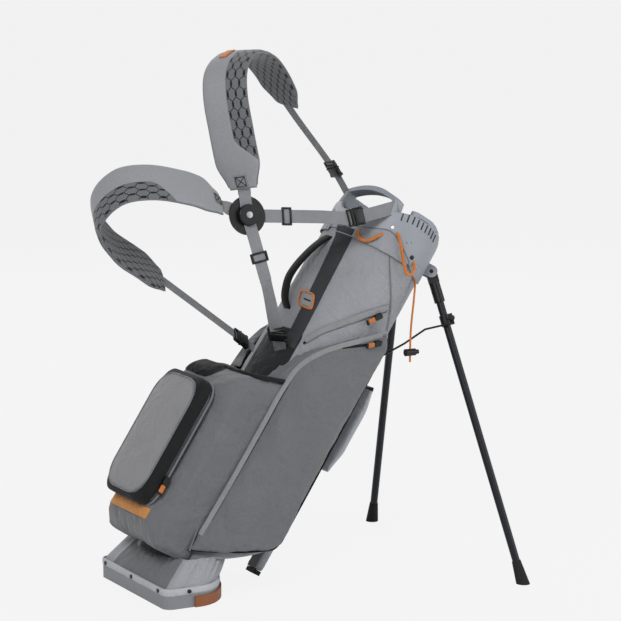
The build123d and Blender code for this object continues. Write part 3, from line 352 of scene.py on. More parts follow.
def dome(name, centre, axes, sizes, corner, height):
    """A low padded panel: a rounded rectangle in the plane of two axes, crowned along the third."""
    across, along, out = axes

    def place(u, v):
        wide, long = rounded_frame(u, *sizes, corner)
        return centre + (across * wide + along * long) * v + out * height * (1 - v**3)

    return shaped_grid(name, 96, 14, place, facing=out)


def block(name, centre, axes, size, bevel):
    """A bevelled block with its sides along three axes."""
    deselect()
    bpy.ops.mesh.primitive_cube_add(size=1)
    piece = bpy.context.object
    piece.name = name
    turn = Matrix([[axis[row] for axis in axes] for row in range(3)])
    for point in piece.data.vertices:
        point.co = centre + turn @ Vector(part * length for part, length in zip(point.co, size))
    edit(piece, (bpy.ops.mesh.normals_make_consistent, {"inside": False}))
    apply_modifier(piece, "BEVEL", width=bevel, segments=3)
    smooth(piece, 45)
    return piece


def disc(name, centre, out, radius, height, bevel):
    """A round rivet or bolt head, standing out of a surface."""
    deselect()
    bpy.ops.mesh.primitive_cylinder_add(vertices=32, radius=radius, depth=height)
    piece = bpy.context.object
    piece.name = name
    turn = out.to_track_quat("Z", "Y")
    for point in piece.data.vertices:
        point.co = centre + turn @ (point.co + Vector((0, 0, height / 2)))
    apply_modifier(piece, "BEVEL", width=bevel, segments=3, limit_method="ANGLE")
    smooth(piece, 45)
    return piece


def joined(name, pieces):
    """Several meshes made into one piece."""
    deselect()
    for piece in pieces:
        piece.select_set(True)
    bpy.context.view_layer.objects.active = pieces[0]
    bpy.ops.object.join()
    pieces[0].name = name
    return pieces[0]


def cord_curve(name, points, radius):
    """A round cord on one smooth curve, with points as its control points."""
    curve = bpy.data.curves.new(name, "CURVE")
    curve.dimensions = "3D"
    curve.bevel_depth = radius
    curve.bevel_resolution = 5
    curve.use_fill_caps = True
    line = curve.splines.new("NURBS")
    line.points.add(len(points) - 1)
    for point, place in zip(line.points, points):
        point.co = (*place, 1)
    line.order_u = 3
    line.use_endpoint_u = True
    line.resolution_u = 12
    piece = bpy.data.objects.new(name, curve)
    bpy.context.scene.collection.objects.link(piece)
    return piece


def bead(name, points, radius, closed=False):
    """A round piping or bead sewn along points, as a mesh."""
    piece = cord_curve(name, points, radius)
    piece.data.splines[0].use_cyclic_u = closed
    pick(piece)
    bpy.ops.object.convert(target="MESH")
    smooth(piece, 60)
    return piece


CLOTH_FRAMES = 16
CLOTH = {
    "use_pressure": True,
    "quality": 4,
    "tension_stiffness": 30,
    "compression_stiffness": 15,
    "bending_stiffness": 0.4,
}


def inflate(piece, pressure, cap):
    """Swells a closed piece as cloth, moving no point further than cap."""
    start = [point.co.copy() for point in piece.data.vertices]
    pick(piece)
    modifier = piece.modifiers.new("Cloth", "CLOTH")
    for name, value in CLOTH.items():
        setattr(modifier.settings, name, value)
    modifier.settings.uniform_pressure_force = pressure
    modifier.settings.effector_weights.gravity = 0
    modifier.collision_settings.use_collision = False
    modifier.point_cache.frame_start = 1
    modifier.point_cache.frame_end = CLOTH_FRAMES
    scene = bpy.context.scene
    for step in range(1, CLOTH_FRAMES + 1):
        scene.frame_set(step)
    bpy.ops.object.modifier_apply(modifier=modifier.name)
    scene.frame_set(1)
    for point, rest in zip(piece.data.vertices, start):
        moved = point.co - rest
        if moved.length > cap:
            point.co = rest + moved.normalized() * cap


def soft_copy(name, node, voxel, pressure, cap, wrinkle):
    """A fabric form blown up from a copy of a solid: remeshed, inflated as cloth and wrinkled."""
    piece = nodes[node].copy()
    piece.data = nodes[node].data.copy()
    piece.name = name
    piece.parent = None
    bpy.context.scene.collection.objects.link(piece)
    for key in list(piece.keys()):
        del piece[key]
    piece.data.materials.clear()
    edit(piece, (bpy.ops.mesh.remove_doubles, {"threshold": 1e-5}))
    apply_modifier(piece, "REMESH", mode="VOXEL", voxel_size=voxel)
    apply_modifier(piece, "SMOOTH", factor=0.5, iterations=5)
    inflate(piece, pressure, cap)
    apply_modifier(piece, "SUBSURF", levels=1)
    normals = [point.normal.copy() for point in piece.data.vertices]
    for point, out in zip(piece.data.vertices, normals):
        fold = noise.noise(Vector((point.co.x * 34, point.co.y * 20, point.co.z * 16)))
        crease = noise.noise(point.co * 75)
        point.co += out * wrinkle * (fold * 0.75 + crease * 0.25)
    smooth(piece, 70)
    return piece


# Materials
def hue(code):
    """A linear colour from an sRGB hex value."""
    parts = [int(code[index : index + 2], 16) / 255 for index in (1, 3, 5)]
    return (*(part / 12.92 if part <= 0.04045 else ((part + 0.055) / 1.055) ** 2.4 for part in parts), 1)


def add_node(tree, kind, inputs=(), out=0, **settings):
    """Adds a shader node, links or fills its inputs by name or number, and gives one output."""
    made = tree.nodes.new("ShaderNode" + kind)
    for name, value in settings.items():
        setattr(made, name, value)
    for name, value in dict(inputs).items():
        if isinstance(value, bpy.types.NodeSocket):
            tree.links.new(value, made.inputs[name])
        else:
            made.inputs[name].default_value = value
    return made.outputs[out]


def new_material(name, **constants):
    """A node material with its tree and its shader, whose plain inputs are set here."""
    material = bpy.data.materials.new(name)
    material.use_nodes = True
    shader = material.node_tree.nodes["Principled BSDF"]
    for key, value in constants.items():
        shader.inputs[key.replace("_", " ")].default_value = value
    return material, material.node_tree, shader


def link_shader(tree, shader, **sockets):
    """Links sockets to the shader's inputs."""
    for key, socket in sockets.items():
        tree.links.new(socket, shader.inputs[key.replace("_", " ")])


def woven(name, light, dark, marked_colour=None, thread=2.4 * MM, sheen=0.15):
    """Plain-weave polyester: heathered yarns and a fine relief of crossing threads.

    Real threads of 0.4 mm are too fine to show, so the weave is drawn coarser. Where the piece
    carries its mark, its colour goes to the marked colour: an inlay's own colour, and on the
    boot's front painted shade.
    """
    material, tree, shader = new_material(name, Roughness=0.8, Sheen_Weight=sheen, Specular_IOR_Level=0.2)
    where = add_node(tree, "TexCoord", out="Object")
    lie = add_node(tree, "Mapping", {"Vector": where, "Rotation": (0, LEAN, 0)})
    drawn = add_node(tree, "Mapping", {"Vector": lie, "Scale": (1, 1, 0.35)})
    yarn = add_node(tree, "TexNoise", {"Vector": drawn, "Scale": 420.0, "Detail": 2.0})
    cloud = add_node(tree, "TexNoise", {"Vector": lie, "Scale": 16.0, "Detail": 3.0})
    tone = add_node(tree, "Mix", {0: 0.45, 2: yarn, 3: cloud})
    share = add_node(tree, "MapRange", {0: tone, 1: 0.28, 2: 0.72})
    colour = add_node(tree, "Mix", {0: share, 6: hue(dark), 7: hue(light)}, out=2, data_type="RGBA")
    if marked_colour:
        mark = add_node(tree, "Attribute", out="Fac", attribute_name="inlay_and_painted_shade")
        edge = add_node(tree, "MapRange", {0: mark, 1: 0.45, 2: 0.55})
        colour = add_node(tree, "Mix", {0: edge, 6: colour, 7: hue(marked_colour)}, out=2, data_type="RGBA")
    warp = add_node(
        tree, "TexWave", {"Vector": lie, "Scale": 0.31 / thread}, out=1, bands_direction="Z"
    )
    weft = add_node(
        tree, "TexWave", {"Vector": lie, "Scale": 0.22 / thread}, out=1, bands_direction="DIAGONAL"
    )
    weave = add_node(tree, "Math", {0: warp, 1: weft}, operation="MULTIPLY")
    relief = add_node(tree, "Bump", {"Height": weave, "Strength": 0.25, "Distance": thread * 0.3})
    folds = add_node(tree, "TexNoise", {"Vector": lie, "Scale": 24.0, "Detail": 2.5, "Distortion": 1.2})
    creased = add_node(
        tree, "Bump", {"Height": folds, "Strength": 0.75, "Distance": 8 * MM, "Normal": relief}
    )
    link_shader(tree, shader, Base_Color=colour, Normal=creased)
    return material


CELL_WIDTH = 16 * MM
CELL_PITCH = 36 * MM
CELL_SLOPE = (10.5 * MM, 27.1 * MM)
SLOPE_REACH = 9.4 * MM
BAR_REACH = 4.5 * MM
BAR_THICKNESS = 1.3 * MM


def spacer_mesh(name, light, dark, ground, line):
    """Strap padding: heathered fabric, and an open mesh with a lattice of long hexagons.

    The lattice is 16 mm wide and 25 mm high, read from the strap's own UV map in metres, with
    thick bars on its upright edges. It shows where the strap carries its inlay mark.
    """
    material, tree, shader = new_material(name, Roughness=0.8, Sheen_Weight=0.15, Specular_IOR_Level=0.2)
    chart = add_node(tree, "UVMap")
    values = {axis: add_node(tree, "SeparateXYZ", {0: chart}, axis.upper()) for axis in ("x", "y")}
    for cell, shift in (("cell", 0.0), ("other", 0.5)):
        steps = []
        for way, source, pitch in (("across", "x", CELL_WIDTH), ("along", "y", CELL_PITCH)):
            steps += [
                (way, "DIVIDE", source, pitch),
                (way, "ADD", way, shift),
                (way, "FRACT", way, 0.0),
                (way, "SUBTRACT", way, 0.5),
                (way, "ABSOLUTE", way, 0.0),
            ]
        steps += [
            ("slope", "MULTIPLY", "across", CELL_SLOPE[0]),
            ("rise", "MULTIPLY", "along", CELL_SLOPE[1]),
            ("slope", "ADD", "slope", "rise"),
            ("slope", "SUBTRACT", SLOPE_REACH, "slope"),
            ("bar", "LESS_THAN", "along", BAR_REACH / CELL_PITCH),
            ("bar", "MULTIPLY", "bar", BAR_THICKNESS),
            ("upright", "MULTIPLY", "across", CELL_WIDTH),
            ("upright", "SUBTRACT", CELL_WIDTH / 2, "upright"),
            ("upright", "SUBTRACT", "upright", "bar"),
            (cell, "MINIMUM", "upright", "slope"),
        ]
        for made, kind, first, second in steps:
            inputs = {0: values.get(first, first), 1: values.get(second, second)}
            values[made] = add_node(tree, "Math", inputs, operation=kind)
    gap = add_node(tree, "Math", {0: values["cell"], 1: values["other"]}, operation="MAXIMUM")
    lattice = add_node(tree, "MapRange", {0: gap, 1: 0.4 * MM, 2: 1.1 * MM})
    mesh = add_node(tree, "Mix", {0: lattice, 6: hue(line), 7: hue(ground)}, out=2, data_type="RGBA")
    where = add_node(tree, "TexCoord", out="Object")
    yarn = add_node(tree, "TexNoise", {"Vector": where, "Scale": 300.0, "Detail": 2.0})
    share = add_node(tree, "MapRange", {0: yarn, 1: 0.2, 2: 0.8})
    cloth = add_node(tree, "Mix", {0: share, 6: hue(dark), 7: hue(light)}, out=2, data_type="RGBA")
    mark = add_node(tree, "Attribute", out="Fac", attribute_name="inlay_and_painted_shade")
    edge = add_node(tree, "MapRange", {0: mark, 1: 0.47, 2: 0.53})
    colour = add_node(tree, "Mix", {0: edge, 6: cloth, 7: mesh}, out=2, data_type="RGBA")
    dip = add_node(tree, "Math", {0: edge, 1: lattice}, operation="MULTIPLY")
    relief = add_node(tree, "Bump", {"Height": dip, "Strength": 0.4, "Distance": 1.5 * MM})
    link_shader(tree, shader, Base_Color=colour, Normal=relief)
    return material


def moulded(name, colour, shade, roughness, grain=0.8 * MM):
    """Moulded plastic or rubber: an even colour with a fine eroded grain."""
    material, tree, shader = new_material(name, Specular_IOR_Level=0.3)
    where = add_node(tree, "TexCoord", out="Object")
    speck = add_node(tree, "TexNoise", {"Vector": where, "Scale": 1 / grain})
    patch = add_node(tree, "TexNoise", {"Vector": where, "Scale": 22.0})
    mix = add_node(tree, "Mix", {0: patch, 6: hue(shade), 7: hue(colour)}, out=2, data_type="RGBA")
    rough = add_node(
        tree, "MapRange", {0: speck, 1: 0.3, 2: 0.7, 3: roughness - 0.07, 4: roughness + 0.07}
    )
    relief = add_node(tree, "Bump", {"Height": speck, "Strength": 0.12, "Distance": grain})
    link_shader(tree, shader, Base_Color=mix, Roughness=rough, Normal=relief)
    return material


def anodised(name, colour, shade):
    """Drawn and anodised tube or wire: dark and satin, with faint marks along its length."""
    material, tree, shader = new_material(name, Metallic=0.75)
    where = add_node(tree, "TexCoord", out="Object")
    drawn = add_node(tree, "Mapping", {"Vector": where, "Scale": (1, 1, 0.03)})
    marks = add_node(tree, "TexNoise", {"Vector": drawn, "Scale": 900.0})
    mix = add_node(tree, "Mix", {0: marks, 6: hue(shade), 7: hue(colour)}, out=2, data_type="RGBA")
    rough = add_node(tree, "MapRange", {0: marks, 3: 0.3, 4: 0.48})
    link_shader(tree, shader, Base_Color=mix, Roughness=rough)
    return material


def strap_weave(name, light, dark, rib=2.2 * MM):
    """Woven webbing or zip tape: ribs across the strap, read from its UV map in metres."""
    material, tree, shader = new_material(name, Roughness=0.75, Sheen_Weight=0.03, Specular_IOR_Level=0.2)
    chart = add_node(tree, "UVMap")
    ribs = add_node(tree, "TexWave", {"Vector": chart, "Scale": 0.31 / rib}, out=1, bands_direction="Y")
    where = add_node(tree, "TexCoord", out="Object")
    worn = add_node(tree, "TexNoise", {"Vector": where, "Scale": 60.0})
    tone = add_node(tree, "Mix", {0: 0.5, 2: ribs, 3: worn})
    mix = add_node(tree, "Mix", {0: tone, 6: hue(dark), 7: hue(light)}, out=2, data_type="RGBA")
    relief = add_node(tree, "Bump", {"Height": ribs, "Strength": 0.4, "Distance": rib * 0.3})
    link_shader(tree, shader, Base_Color=mix, Normal=relief)
    return material


light_cloth = woven("heather_polyester_light", "#888a8f", "#7a7c80", "#1c1d1f")
# On the boot, the marked colour is painted shade on its front face.
boot_cloth = woven("heather_polyester_boot", "#8f9196", "#7f8186", "#636467")
dark_cloth = woven("heather_polyester_dark", "#636467", "#58595c")
panel_cloth = woven("heather_polyester_panel", "#808083", "#737376")
band_cloth = woven("ripstop_polyester_band", "#333437", "#2a2b2e", sheen=0.06)
lining_cloth = woven("nylon_lining", "#2c2d2f", "#222325", sheen=0.06)
pad_cloth = spacer_mesh("spacer_mesh_padding", "#84868a", "#797b7f", "#5c5e61", "#0c0d0e")
# Grey binding tape; on the hip pad it is also painted light, lighter than the bag's light cloth.
tape_and_lit_pad_cloth = woven("polyester_tape_grey_and_lit_hip_pad", "#a6a8ad", "#979a9f", "#1c1d1f")
collar_plastic = moulded("polypropylene_grey", "#868990", "#7d8188", 0.5)
base_plastic = moulded("polypropylene_base", "#797b80", "#707277", 0.45)
black_plastic = moulded("acetal_black", "#0d0e0f", "#090a0b", 0.4)
black_rubber = moulded("rubber_black", "#131415", "#0e0f10", 0.75)
rust_plastic = moulded("polypropylene_rust", "#84502f", "#744427", 0.5)
leg_metal = anodised("anodised_aluminium_black", "#2b2d31", "#1d1f22")
wire_metal = anodised("plated_steel_black", "#1f2022", "#151617")
rivet_metal = anodised("plated_steel_grey", "#a2a5aa", "#8b8e93")
grey_webbing = strap_weave("nylon_webbing_grey", "#808285", "#626467")
black_webbing = strap_weave("nylon_webbing_black", "#121314", "#090a0b")
zip_tape = strap_weave("zip_coil_black", "#161718", "#070808")
orange_cord = woven("braided_cord_orange", "#c0712f", "#9a5823", thread=1.8 * MM)
orange_tape = woven("polyester_tape_orange", "#b97f45", "#a46e37")
black_piping = woven("bound_piping_black", "#18191b", "#121315", sheen=0.05)
grey_piping = woven("bound_piping_grey", "#6a6c70", "#5a5c60")


def dress(piece, material, *replaced, body="bag", slot=None):
    """Gives a piece its material and its body, and hides the solids that it stands for."""
    piece.data.materials.clear()
    piece.data.materials.append(material)
    if body:
        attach(piece, body)
    if replaced:
        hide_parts(*replaced)
    return piece


# Camera, light and floor
TARGET = Vector((0.3003, 0, 0.5187))
LOOK_BACK = Vector((-0.4681, -0.8694, 0.1582))
CAMERA_DISTANCE = 5.406
LENS = 160.35
PALE = "#f4f4f4"
SKY_LIGHT = 0.48
FLOOR_GLOW = 0.96
LIGHT_AIM = Vector((0.25, 0, 0.5))

eye = bpy.data.cameras.new("camera")
eye.lens = LENS
eye.sensor_width = 36
eye.clip_end = 50
camera = bpy.data.objects.new("camera", eye)
bpy.context.scene.collection.objects.link(camera)
camera.location = TARGET + LOOK_BACK * CAMERA_DISTANCE
camera.rotation_mode = "QUATERNION"
camera.rotation_quaternion = (-LOOK_BACK).to_track_quat("-Z", "Y")
bpy.context.scene.camera = camera
bpy.context.scene.view_settings.view_transform = "Standard"

world = bpy.data.worlds.new("studio")
world.use_nodes = True
bpy.context.scene.world = world
sky = world.node_tree
background = sky.nodes["Background"]
background.inputs["Color"].default_value = hue(PALE)
seen = add_node(sky, "LightPath", out="Is Camera Ray")
strength = add_node(sky, "MapRange", {0: seen, 3: SKY_LIGHT, 4: 1.0})
sky.links.new(strength, background.inputs["Strength"])

for lamp_name, place, power, size in (
    ("key_light", (-2.4, -2.8, 3.4), 150, 1.6),
    ("fill_light", (2.8, -2.4, 1.6), 60, 2.6),
    ("back_light", (1.2, 3.2, 2.8), 60, 2.6),
):
    lamp = bpy.data.lights.new(lamp_name, "AREA")
    lamp.energy = power
    lamp.size = size
    holder = bpy.data.objects.new(lamp_name, lamp)
    bpy.context.scene.collection.objects.link(holder)
    holder.location = place
    holder.rotation_mode = "QUATERNION"
    holder.rotation_quaternion = (LIGHT_AIM - Vector(place)).to_track_quat("-Z", "Y")

deselect()
bpy.ops.mesh.primitive_plane_add(size=60)
floor = bpy.context.object
floor.name = "studio_floor"
floor_paper, paper_tree, paper = new_material("backdrop_paper", Base_Color=hue(PALE), Roughness=0.9)
paper_glow = add_node(paper_tree, "Emission", {"Color": hue(PALE)})
paper_seen = add_node(paper_tree, "LightPath", out="Is Camera Ray")
paper_share = add_node(paper_tree, "Math", {0: paper_seen, 1: FLOOR_GLOW}, operation="MULTIPLY")
paper_mix = add_node(paper_tree, "MixShader", {0: paper_share, 1: paper.outputs[0], 2: paper_glow})
paper_tree.links.new(paper_mix, paper_tree.nodes["Material Output"].inputs["Surface"])
floor.data.materials.append(floor_paper)

# Cords: the orange pull cord with its lock, and two loops under the collar
PULL_ROUTE = (
    (469, -108, 592), (469, -118, 588), (465, -118, 543), (459, -118, 495), (457, -118, 455),
    (457, -118, 422),
)
PULL_DIAMETER = 4 * MM
LOOP_DIAMETER = 6 * MM
LOOP_SHARE = 0.93  # the curve cuts the corners between its control points
pull_points = [Vector(point) * MM for point in PULL_ROUTE]
pull_line = cord_curve("pull_cord_line", pull_points, PULL_DIAMETER / 2)
pull_cord = dress(pull_line, orange_cord, "pull_cord")
route_length(pull_points)

NEAR_LOOP = (
    (-26, -66, 793), (-36, -70, 788), (-30, -86, 774), (-18, -101, 778), (-8, -110, 800), (2, -104, 806),
)
LONG_LOOP = (
    (19, -118, 820), (22, -132, 812), (60, -139, 765), (74, -140, 758), (82, -138, 768), (80, -133, 785),
    (77, -122, 790),
)
for loop_name, loop in (("near_loop", NEAR_LOOP), ("long_loop", LONG_LOOP)):
    points = [spot(*point) for point in loop]
    line = dress(cord_curve(loop_name, points, LOOP_DIAMETER / 2), orange_cord, "orange_loops")
    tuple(points[0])
    route_length(points) * LOOP_SHARE

# The tube: a fabric shell that sags a little between its stays
TUBE_SAG = 3.0 * MM
TO_CAMERA_SIDE = Vector((0, -1, 0))


def tube_surface(u, v):
    """A point of the tube's fabric, from the slanted cut above the base up to the collar."""
    angle = 2 * pi * u
    up = FLOOR_HEIGHT
    for _ in range(4):
        place, out = tube_point(angle, up, 0)
        up += (FLOOR_HEIGHT - place.z) / UP_BAG.z
    height = up + (TUBE_TOP - up) * v
    place, out = tube_point(angle, height, 0)
    slack = sin(pi * min(1.0, max(0.0, v))) ** 0.6
    sag = noise.noise(place * 9) * 0.6 + noise.noise(place * 24) * 0.4
    return place + out * (sag - 0.35) * TUBE_SAG * slack


BLACK_PANEL_MIDDLE = 0.53  # shares of the way round and up the tube
BLACK_PANEL_HALF = 0.07
BLACK_PANEL_TOP = 0.68


def tube_shade(u, v):
    """The black panel under the front handle, where the straps are sewn on."""
    inside = BLACK_PANEL_HALF - abs(u - BLACK_PANEL_MIDDLE)
    return ease(inside * 30 + 0.5) * ease((BLACK_PANEL_TOP - v) * 20 + 0.5)


tube = sheet("bag_tube", 180, 120, tube_surface, 2 * MM, mark=tube_shade)
PANELS = ("front_panel", "right_panel", "back_panel", "left_panel")
dress(tube, light_cloth, *PANELS, slot="light_fabric")

# Fabric facing over the collar's lower edge, which leaves the moulded wing bare behind it
FACING_EDGE = (
    (-46, 787), (-40, 793), (-21, 804), (2, 817), (13, 816), (27, 808), (48, 795), (66, 784),
)
FACING_LOW = 774
FACING_LIFT = 5.0
HEM_LIFT = 5.4
WING_TOP = 790
WING_LIFT = 4.4
RIVET_LIFT = 3.6
GROOVE_LIFT = 4.0
GROOVES = (((17, 847), (44, 812)), ((26, 851), (52, 817)))
RIBS = 9
RIB_FIRST = 12
RIB_PITCH = 10.5
RIB_LENGTH = 15
RIB_LIFT = 5.2
WING_EDGE = ((58, 788), (71, 779), (85, 771), (100, 765), (120, 762), (138, 765))


def rim_height(back, side):
    """The height of the collar's rim on one side, so far back, in millimetres."""
    heights = []
    for point in nodes["top_collar"].data.vertices:
        local = (point.co - ORIGIN) / MM
        if abs(local.dot(TO_LEGS) - back) < 6 and local.y * side > 60:
            heights.append(local.dot(UP_BAG))
    return max(heights)


def along_edge(edge, share):
    """A point of an edge of (back, up), share of the way along it."""
    point = route_at([Vector((back, up, 0)) for back, up in edge], share)[0]
    return point.x, point.y


for side, side_name in ((-1, "right"), (1, "left")):

    def facing_surface(u, v):
        back, top = along_edge(FACING_EDGE, u)
        return side_point(back, FACING_LOW + (top - FACING_LOW) * v, FACING_LIFT, side)

    def wing_surface(u, v):
        back, low = along_edge(WING_EDGE, u)
        return side_point(back, low + (WING_TOP - low) * v, WING_LIFT, side)

    out = Vector((0, side, 0))
    facing = sheet(side_name + "_collar_facing", 40, 10, facing_surface, 1.2 * MM, facing=out)
    dress(facing, light_cloth, slot="light_fabric")
    hem = side_line(FACING_EDGE, HEM_LIFT, side)
    dress(bead(side_name + "_facing_hem", hem, 1.3 * MM), grey_piping, slot="light_fabric")
    wing = sheet(side_name + "_collar_wing", 30, 8, wing_surface, 4 * MM, facing=out)
    dress(wing, collar_plastic, slot="collar_plastic")
    for number, (back, up, metal) in enumerate(((9, 825, rivet_metal), (68, 794, black_plastic))):
        seat = side_point(back, up, RIVET_LIFT, side)
        name = f"{side_name}_collar_rivet_{number}"
        rivet = disc(name, seat, tube_outward(seat), 4.5 * MM, 2 * MM, 0.8 * MM)
        dress(rivet, metal, slot="collar_plastic")
    for number, path in enumerate(GROOVES):
        line = side_line(path, GROOVE_LIFT, side)
        name = f"{side_name}_collar_groove_{number}"
        groove = strip_on(name, line, 2.2 * MM, 0.5 * MM, tube_outward, 12)
        dress(groove, black_plastic, slot="collar_plastic")
    for number in range(RIBS):
        back = RIB_FIRST + RIB_PITCH * number
        top = rim_height(back, side) - 2
        line = side_line(((back, top), (back + 2, top - RIB_LENGTH)), RIB_LIFT, side)
        rib = strip_on(f"{side_name}_rim_rib_{number}", line, 2.6 * MM, 0.8 * MM, tube_outward, 8)
        dress(rib, black_plastic, slot="collar_plastic")


# The dark band with its framed tag, set into the right of the front
DARK_BAND_LOW = 527
DARK_BAND_TOP = 790
DARK_BAND_LEFT = (-43, -41)  # at its foot and at its top
DARK_BAND_RIGHT = (-31, -30)


def band_surface(u, v):
    """A point of the band, between its two edges on the tube."""
    up = DARK_BAND_LOW + (DARK_BAND_TOP - DARK_BAND_LOW) * v
    left, right = (
        tube_angle(foot + (top - foot) * v, up) for foot, top in (DARK_BAND_LEFT, DARK_BAND_RIGHT)
    )
    lift = 1.4 + 4.2 * ease((v - 0.9) / 0.06)
    return tube_point(left + (right - left) * u, up * MM, lift * MM)[0]


band = sheet("side_band_panel", 16, 60, band_surface, 1.2 * MM, facing=-TO_LEGS)
dress(band, band_cloth, "side_band", slot="dark_fabric")

TAG_LOW = 611
TAG_RISE = 30
TAG_FOOT = (-45, -33)
TAG_HEAD = (-46, -37)


def tag_point(across, up_share, swell):
    """A point of the tag, between its four corners on the tube."""
    low, high = (left + (right - left) * across for left, right in (TAG_FOOT, TAG_HEAD))
    up = TAG_LOW + TAG_RISE * up_share
    return tube_point(tube_angle(low + (high - low) * up_share, up), up * MM, swell)[0]


def tag_loop(reach, swell):
    """A rounded loop round the tag."""
    loop = []
    for step in range(24):
        turn = 2 * pi * step / 24
        wide = abs(cos(turn)) ** 0.45 * (1 if cos(turn) > 0 else -1)
        high = abs(sin(turn)) ** 0.45 * (1 if sin(turn) > 0 else -1)
        loop.append(tag_point(0.5 + wide * reach / 2, 0.5 + high * reach / 2, swell))
    return loop


dress(bead("tag_frame", tag_loop(1.0, 3.0 * MM), 1.8 * MM, closed=True), orange_cord)


def plate_surface(u, v):
    """A point of the tag's plate, inside its frame."""
    return tag_point(0.1 + 0.8 * u, 0.08 + 0.84 * v, 2.8 * MM)


def slit_surface(u, v):
    """A point of the dark slit across the plate."""
    return tag_point(0.25 + 0.5 * u, 0.45 + 0.1 * v, 3.2 * MM)


tag = sheet("tag_plate", 12, 12, plate_surface, 1.0 * MM, facing=-TO_LEGS)
dress(tag, panel_cloth, slot="light_fabric")
slit = sheet("tag_slit", 6, 4, slit_surface, 0.6 * MM, facing=-TO_LEGS)
dress(slit, black_piping, slot="dark_fabric")

# Pockets, swelled as filled fabric, with their piping and zips
FULL_POCKET = (5.5 * MM, 3.0, 4 * MM, 2.2 * MM)
FLAT_POCKET = (5.0 * MM, 2.5, 2 * MM, 1.0 * MM)
pockets = {}
for pocket, softness in (
    ("right_pocket", FULL_POCKET),
    ("left_pocket", FULL_POCKET),
    ("cooler_pocket", FULL_POCKET),
    ("ball_pocket", FLAT_POCKET),
):
    pockets[pocket] = soft_copy(pocket + "_body", pocket, *softness)
    dress(pockets[pocket], dark_cloth, pocket, slot="dark_fabric")
cooler = pockets["cooler_pocket"]
ball = pockets["ball_pocket"]

POCKET_FRONT = ((-42, 92), (-54, 229), (-57, 355), (-44, 458), (-24, 526), (40, 604), (97, 640))
POCKET_REAR = (
    (97, 640), (119, 618), (121, 560), (121, 400), (121, 200), (112, 176), (96, 166), (20, 125),
    (-42, 92),
)
FLAP_PATH = (
    (84, 633), (36, 592), (-4, 548), (-27, 500), (-33, 442), (-34, 386), (-35, 321), (-36, 259),
    (-38, 191), (-40, 128),
)
WELT_LIFT = 21
PIPING_LIFT = 16
FLAP_LIFT = 22.5
COIL_LIFT = 22.3
COIL_PATH = ((20, 571), (45, 589), (68, 605), (92, 622))
for side, side_name in ((-1, "right"), (1, "left")):
    ground = pockets[side_name + "_pocket"]
    front = side_line(POCKET_FRONT, WELT_LIFT, side)
    welt = rest_on(bead(side_name + "_pocket_welt", front, 1.8 * MM), ground)
    dress(welt, grey_piping, slot="dark_fabric")
    rear = side_line(POCKET_REAR, PIPING_LIFT, side)
    piping = rest_on(bead(side_name + "_pocket_piping", rear, 2.0 * MM), ground)
    dress(piping, black_piping, slot="dark_fabric")
    flap_line = side_line(FLAP_PATH, FLAP_LIFT, side)
    flap = strip_on(side_name + "_pocket_flap", flap_line, 10 * MM, 1.2 * MM, tube_outward, 90)
    dress(rest_on(flap, ground), panel_cloth, slot="dark_fabric")
    if side < 0:
        coil_line = side_line(COIL_PATH, COIL_LIFT, side)
        coil = strip_on("pocket_zip_coil", coil_line, 5 * MM, 0.8 * MM, tube_outward)
        dress(rest_on(coil, ground), zip_tape, "zips", slot="black_plastic")

UPPER_ZIP = ((-26, 545), (-13, 575), (12, 610), (41, 645), (78, 680))
WELT_RISE = 7
welt_line = [side_point(back, up + WELT_RISE, 2.2) for back, up in UPPER_ZIP]
welt = strip_on("upper_zip_welt", welt_line, 13 * MM, 2.0 * MM, tube_outward)
dress(welt, panel_cloth, slot="light_fabric")
upper_line = side_line(UPPER_ZIP, 1.6)
upper_coil = strip_on("upper_zip_coil", upper_line, 5 * MM, 0.8 * MM, tube_outward)
dress(upper_coil, zip_tape, "zips", slot="black_plastic")
SIDE_SEAM = ((22, 782), (44, 745), (66, 715), (92, 680), (112, 650))
seam_line = side_line(SIDE_SEAM, 1.0)
seam = strip_on("side_seam", seam_line, 2.5 * MM, 0.8 * MM, tube_outward)
dress(seam, grey_piping, slot="light_fabric")

# The orange tape round the cooler's foot, from its left side to its right corner
COOLER_FRONT = -140
COOLER_HALF = 105
COOLER_CORNER = 38
ORANGE_LOW = 103
ORANGE_HEIGHT = 22
ORANGE_OVERRUN = 12


def orange_surface(u, v):
    """A point of the tape, which runs round the cooler's left corner and across its front."""
    arc = COOLER_CORNER * pi / 2
    travelled = u * (arc + 2 * (COOLER_HALF - COOLER_CORNER) + ORANGE_OVERRUN)
    middle = COOLER_FRONT + COOLER_CORNER
    reach = COOLER_CORNER + 1
    height = ORANGE_LOW + ORANGE_HEIGHT * v
    if travelled < arc:
        turn = travelled / COOLER_CORNER
        return spot(middle - reach * sin(turn), COOLER_HALF - COOLER_CORNER + reach * cos(turn), height)
    across = COOLER_HALF - COOLER_CORNER - (travelled - arc)
    drop = max(0.0, -across - COOLER_HALF + COOLER_CORNER) ** 2 / (2 * COOLER_CORNER)
    return spot(middle - reach + drop, across, height)


orange = sheet("orange_tape_band", 60, 8, orange_surface, 1.2 * MM, cooler, facing=-TO_LEGS)
dress(orange, orange_tape, "orange_band", slot="orange_fabric")

# The cooler's arched zip and its black top flap
COOLER_ZIP = (
    (-124, 84, 412), (-116, 72, 422), (-108, 54, 431), (-102, 20, 437), (-102, -40, 437), (-100, -84, 438),
    (-84, -103, 443), (-40, -107, 459), (-14, -108, 467),
)
cooler_zip = bead("cooler_zip", [spot(*point) for point in COOLER_ZIP], 4.6 * MM)
dress(rest_on(cooler_zip, cooler), black_piping, slot="black_plastic")
flap_along = (TO_LEGS + UP_BAG).normalized()
flap_out = (UP_BAG - TO_LEGS).normalized()
flap_axes = (LEFTWARD, flap_along, flap_out)
top_flap = dome("cooler_top_flap", spot(-119, 40, 418), flap_axes, (56 * MM, 26 * MM), 22 * MM, 14 * MM)
dress(rest_on(top_flap, cooler), black_piping, slot="dark_fabric")

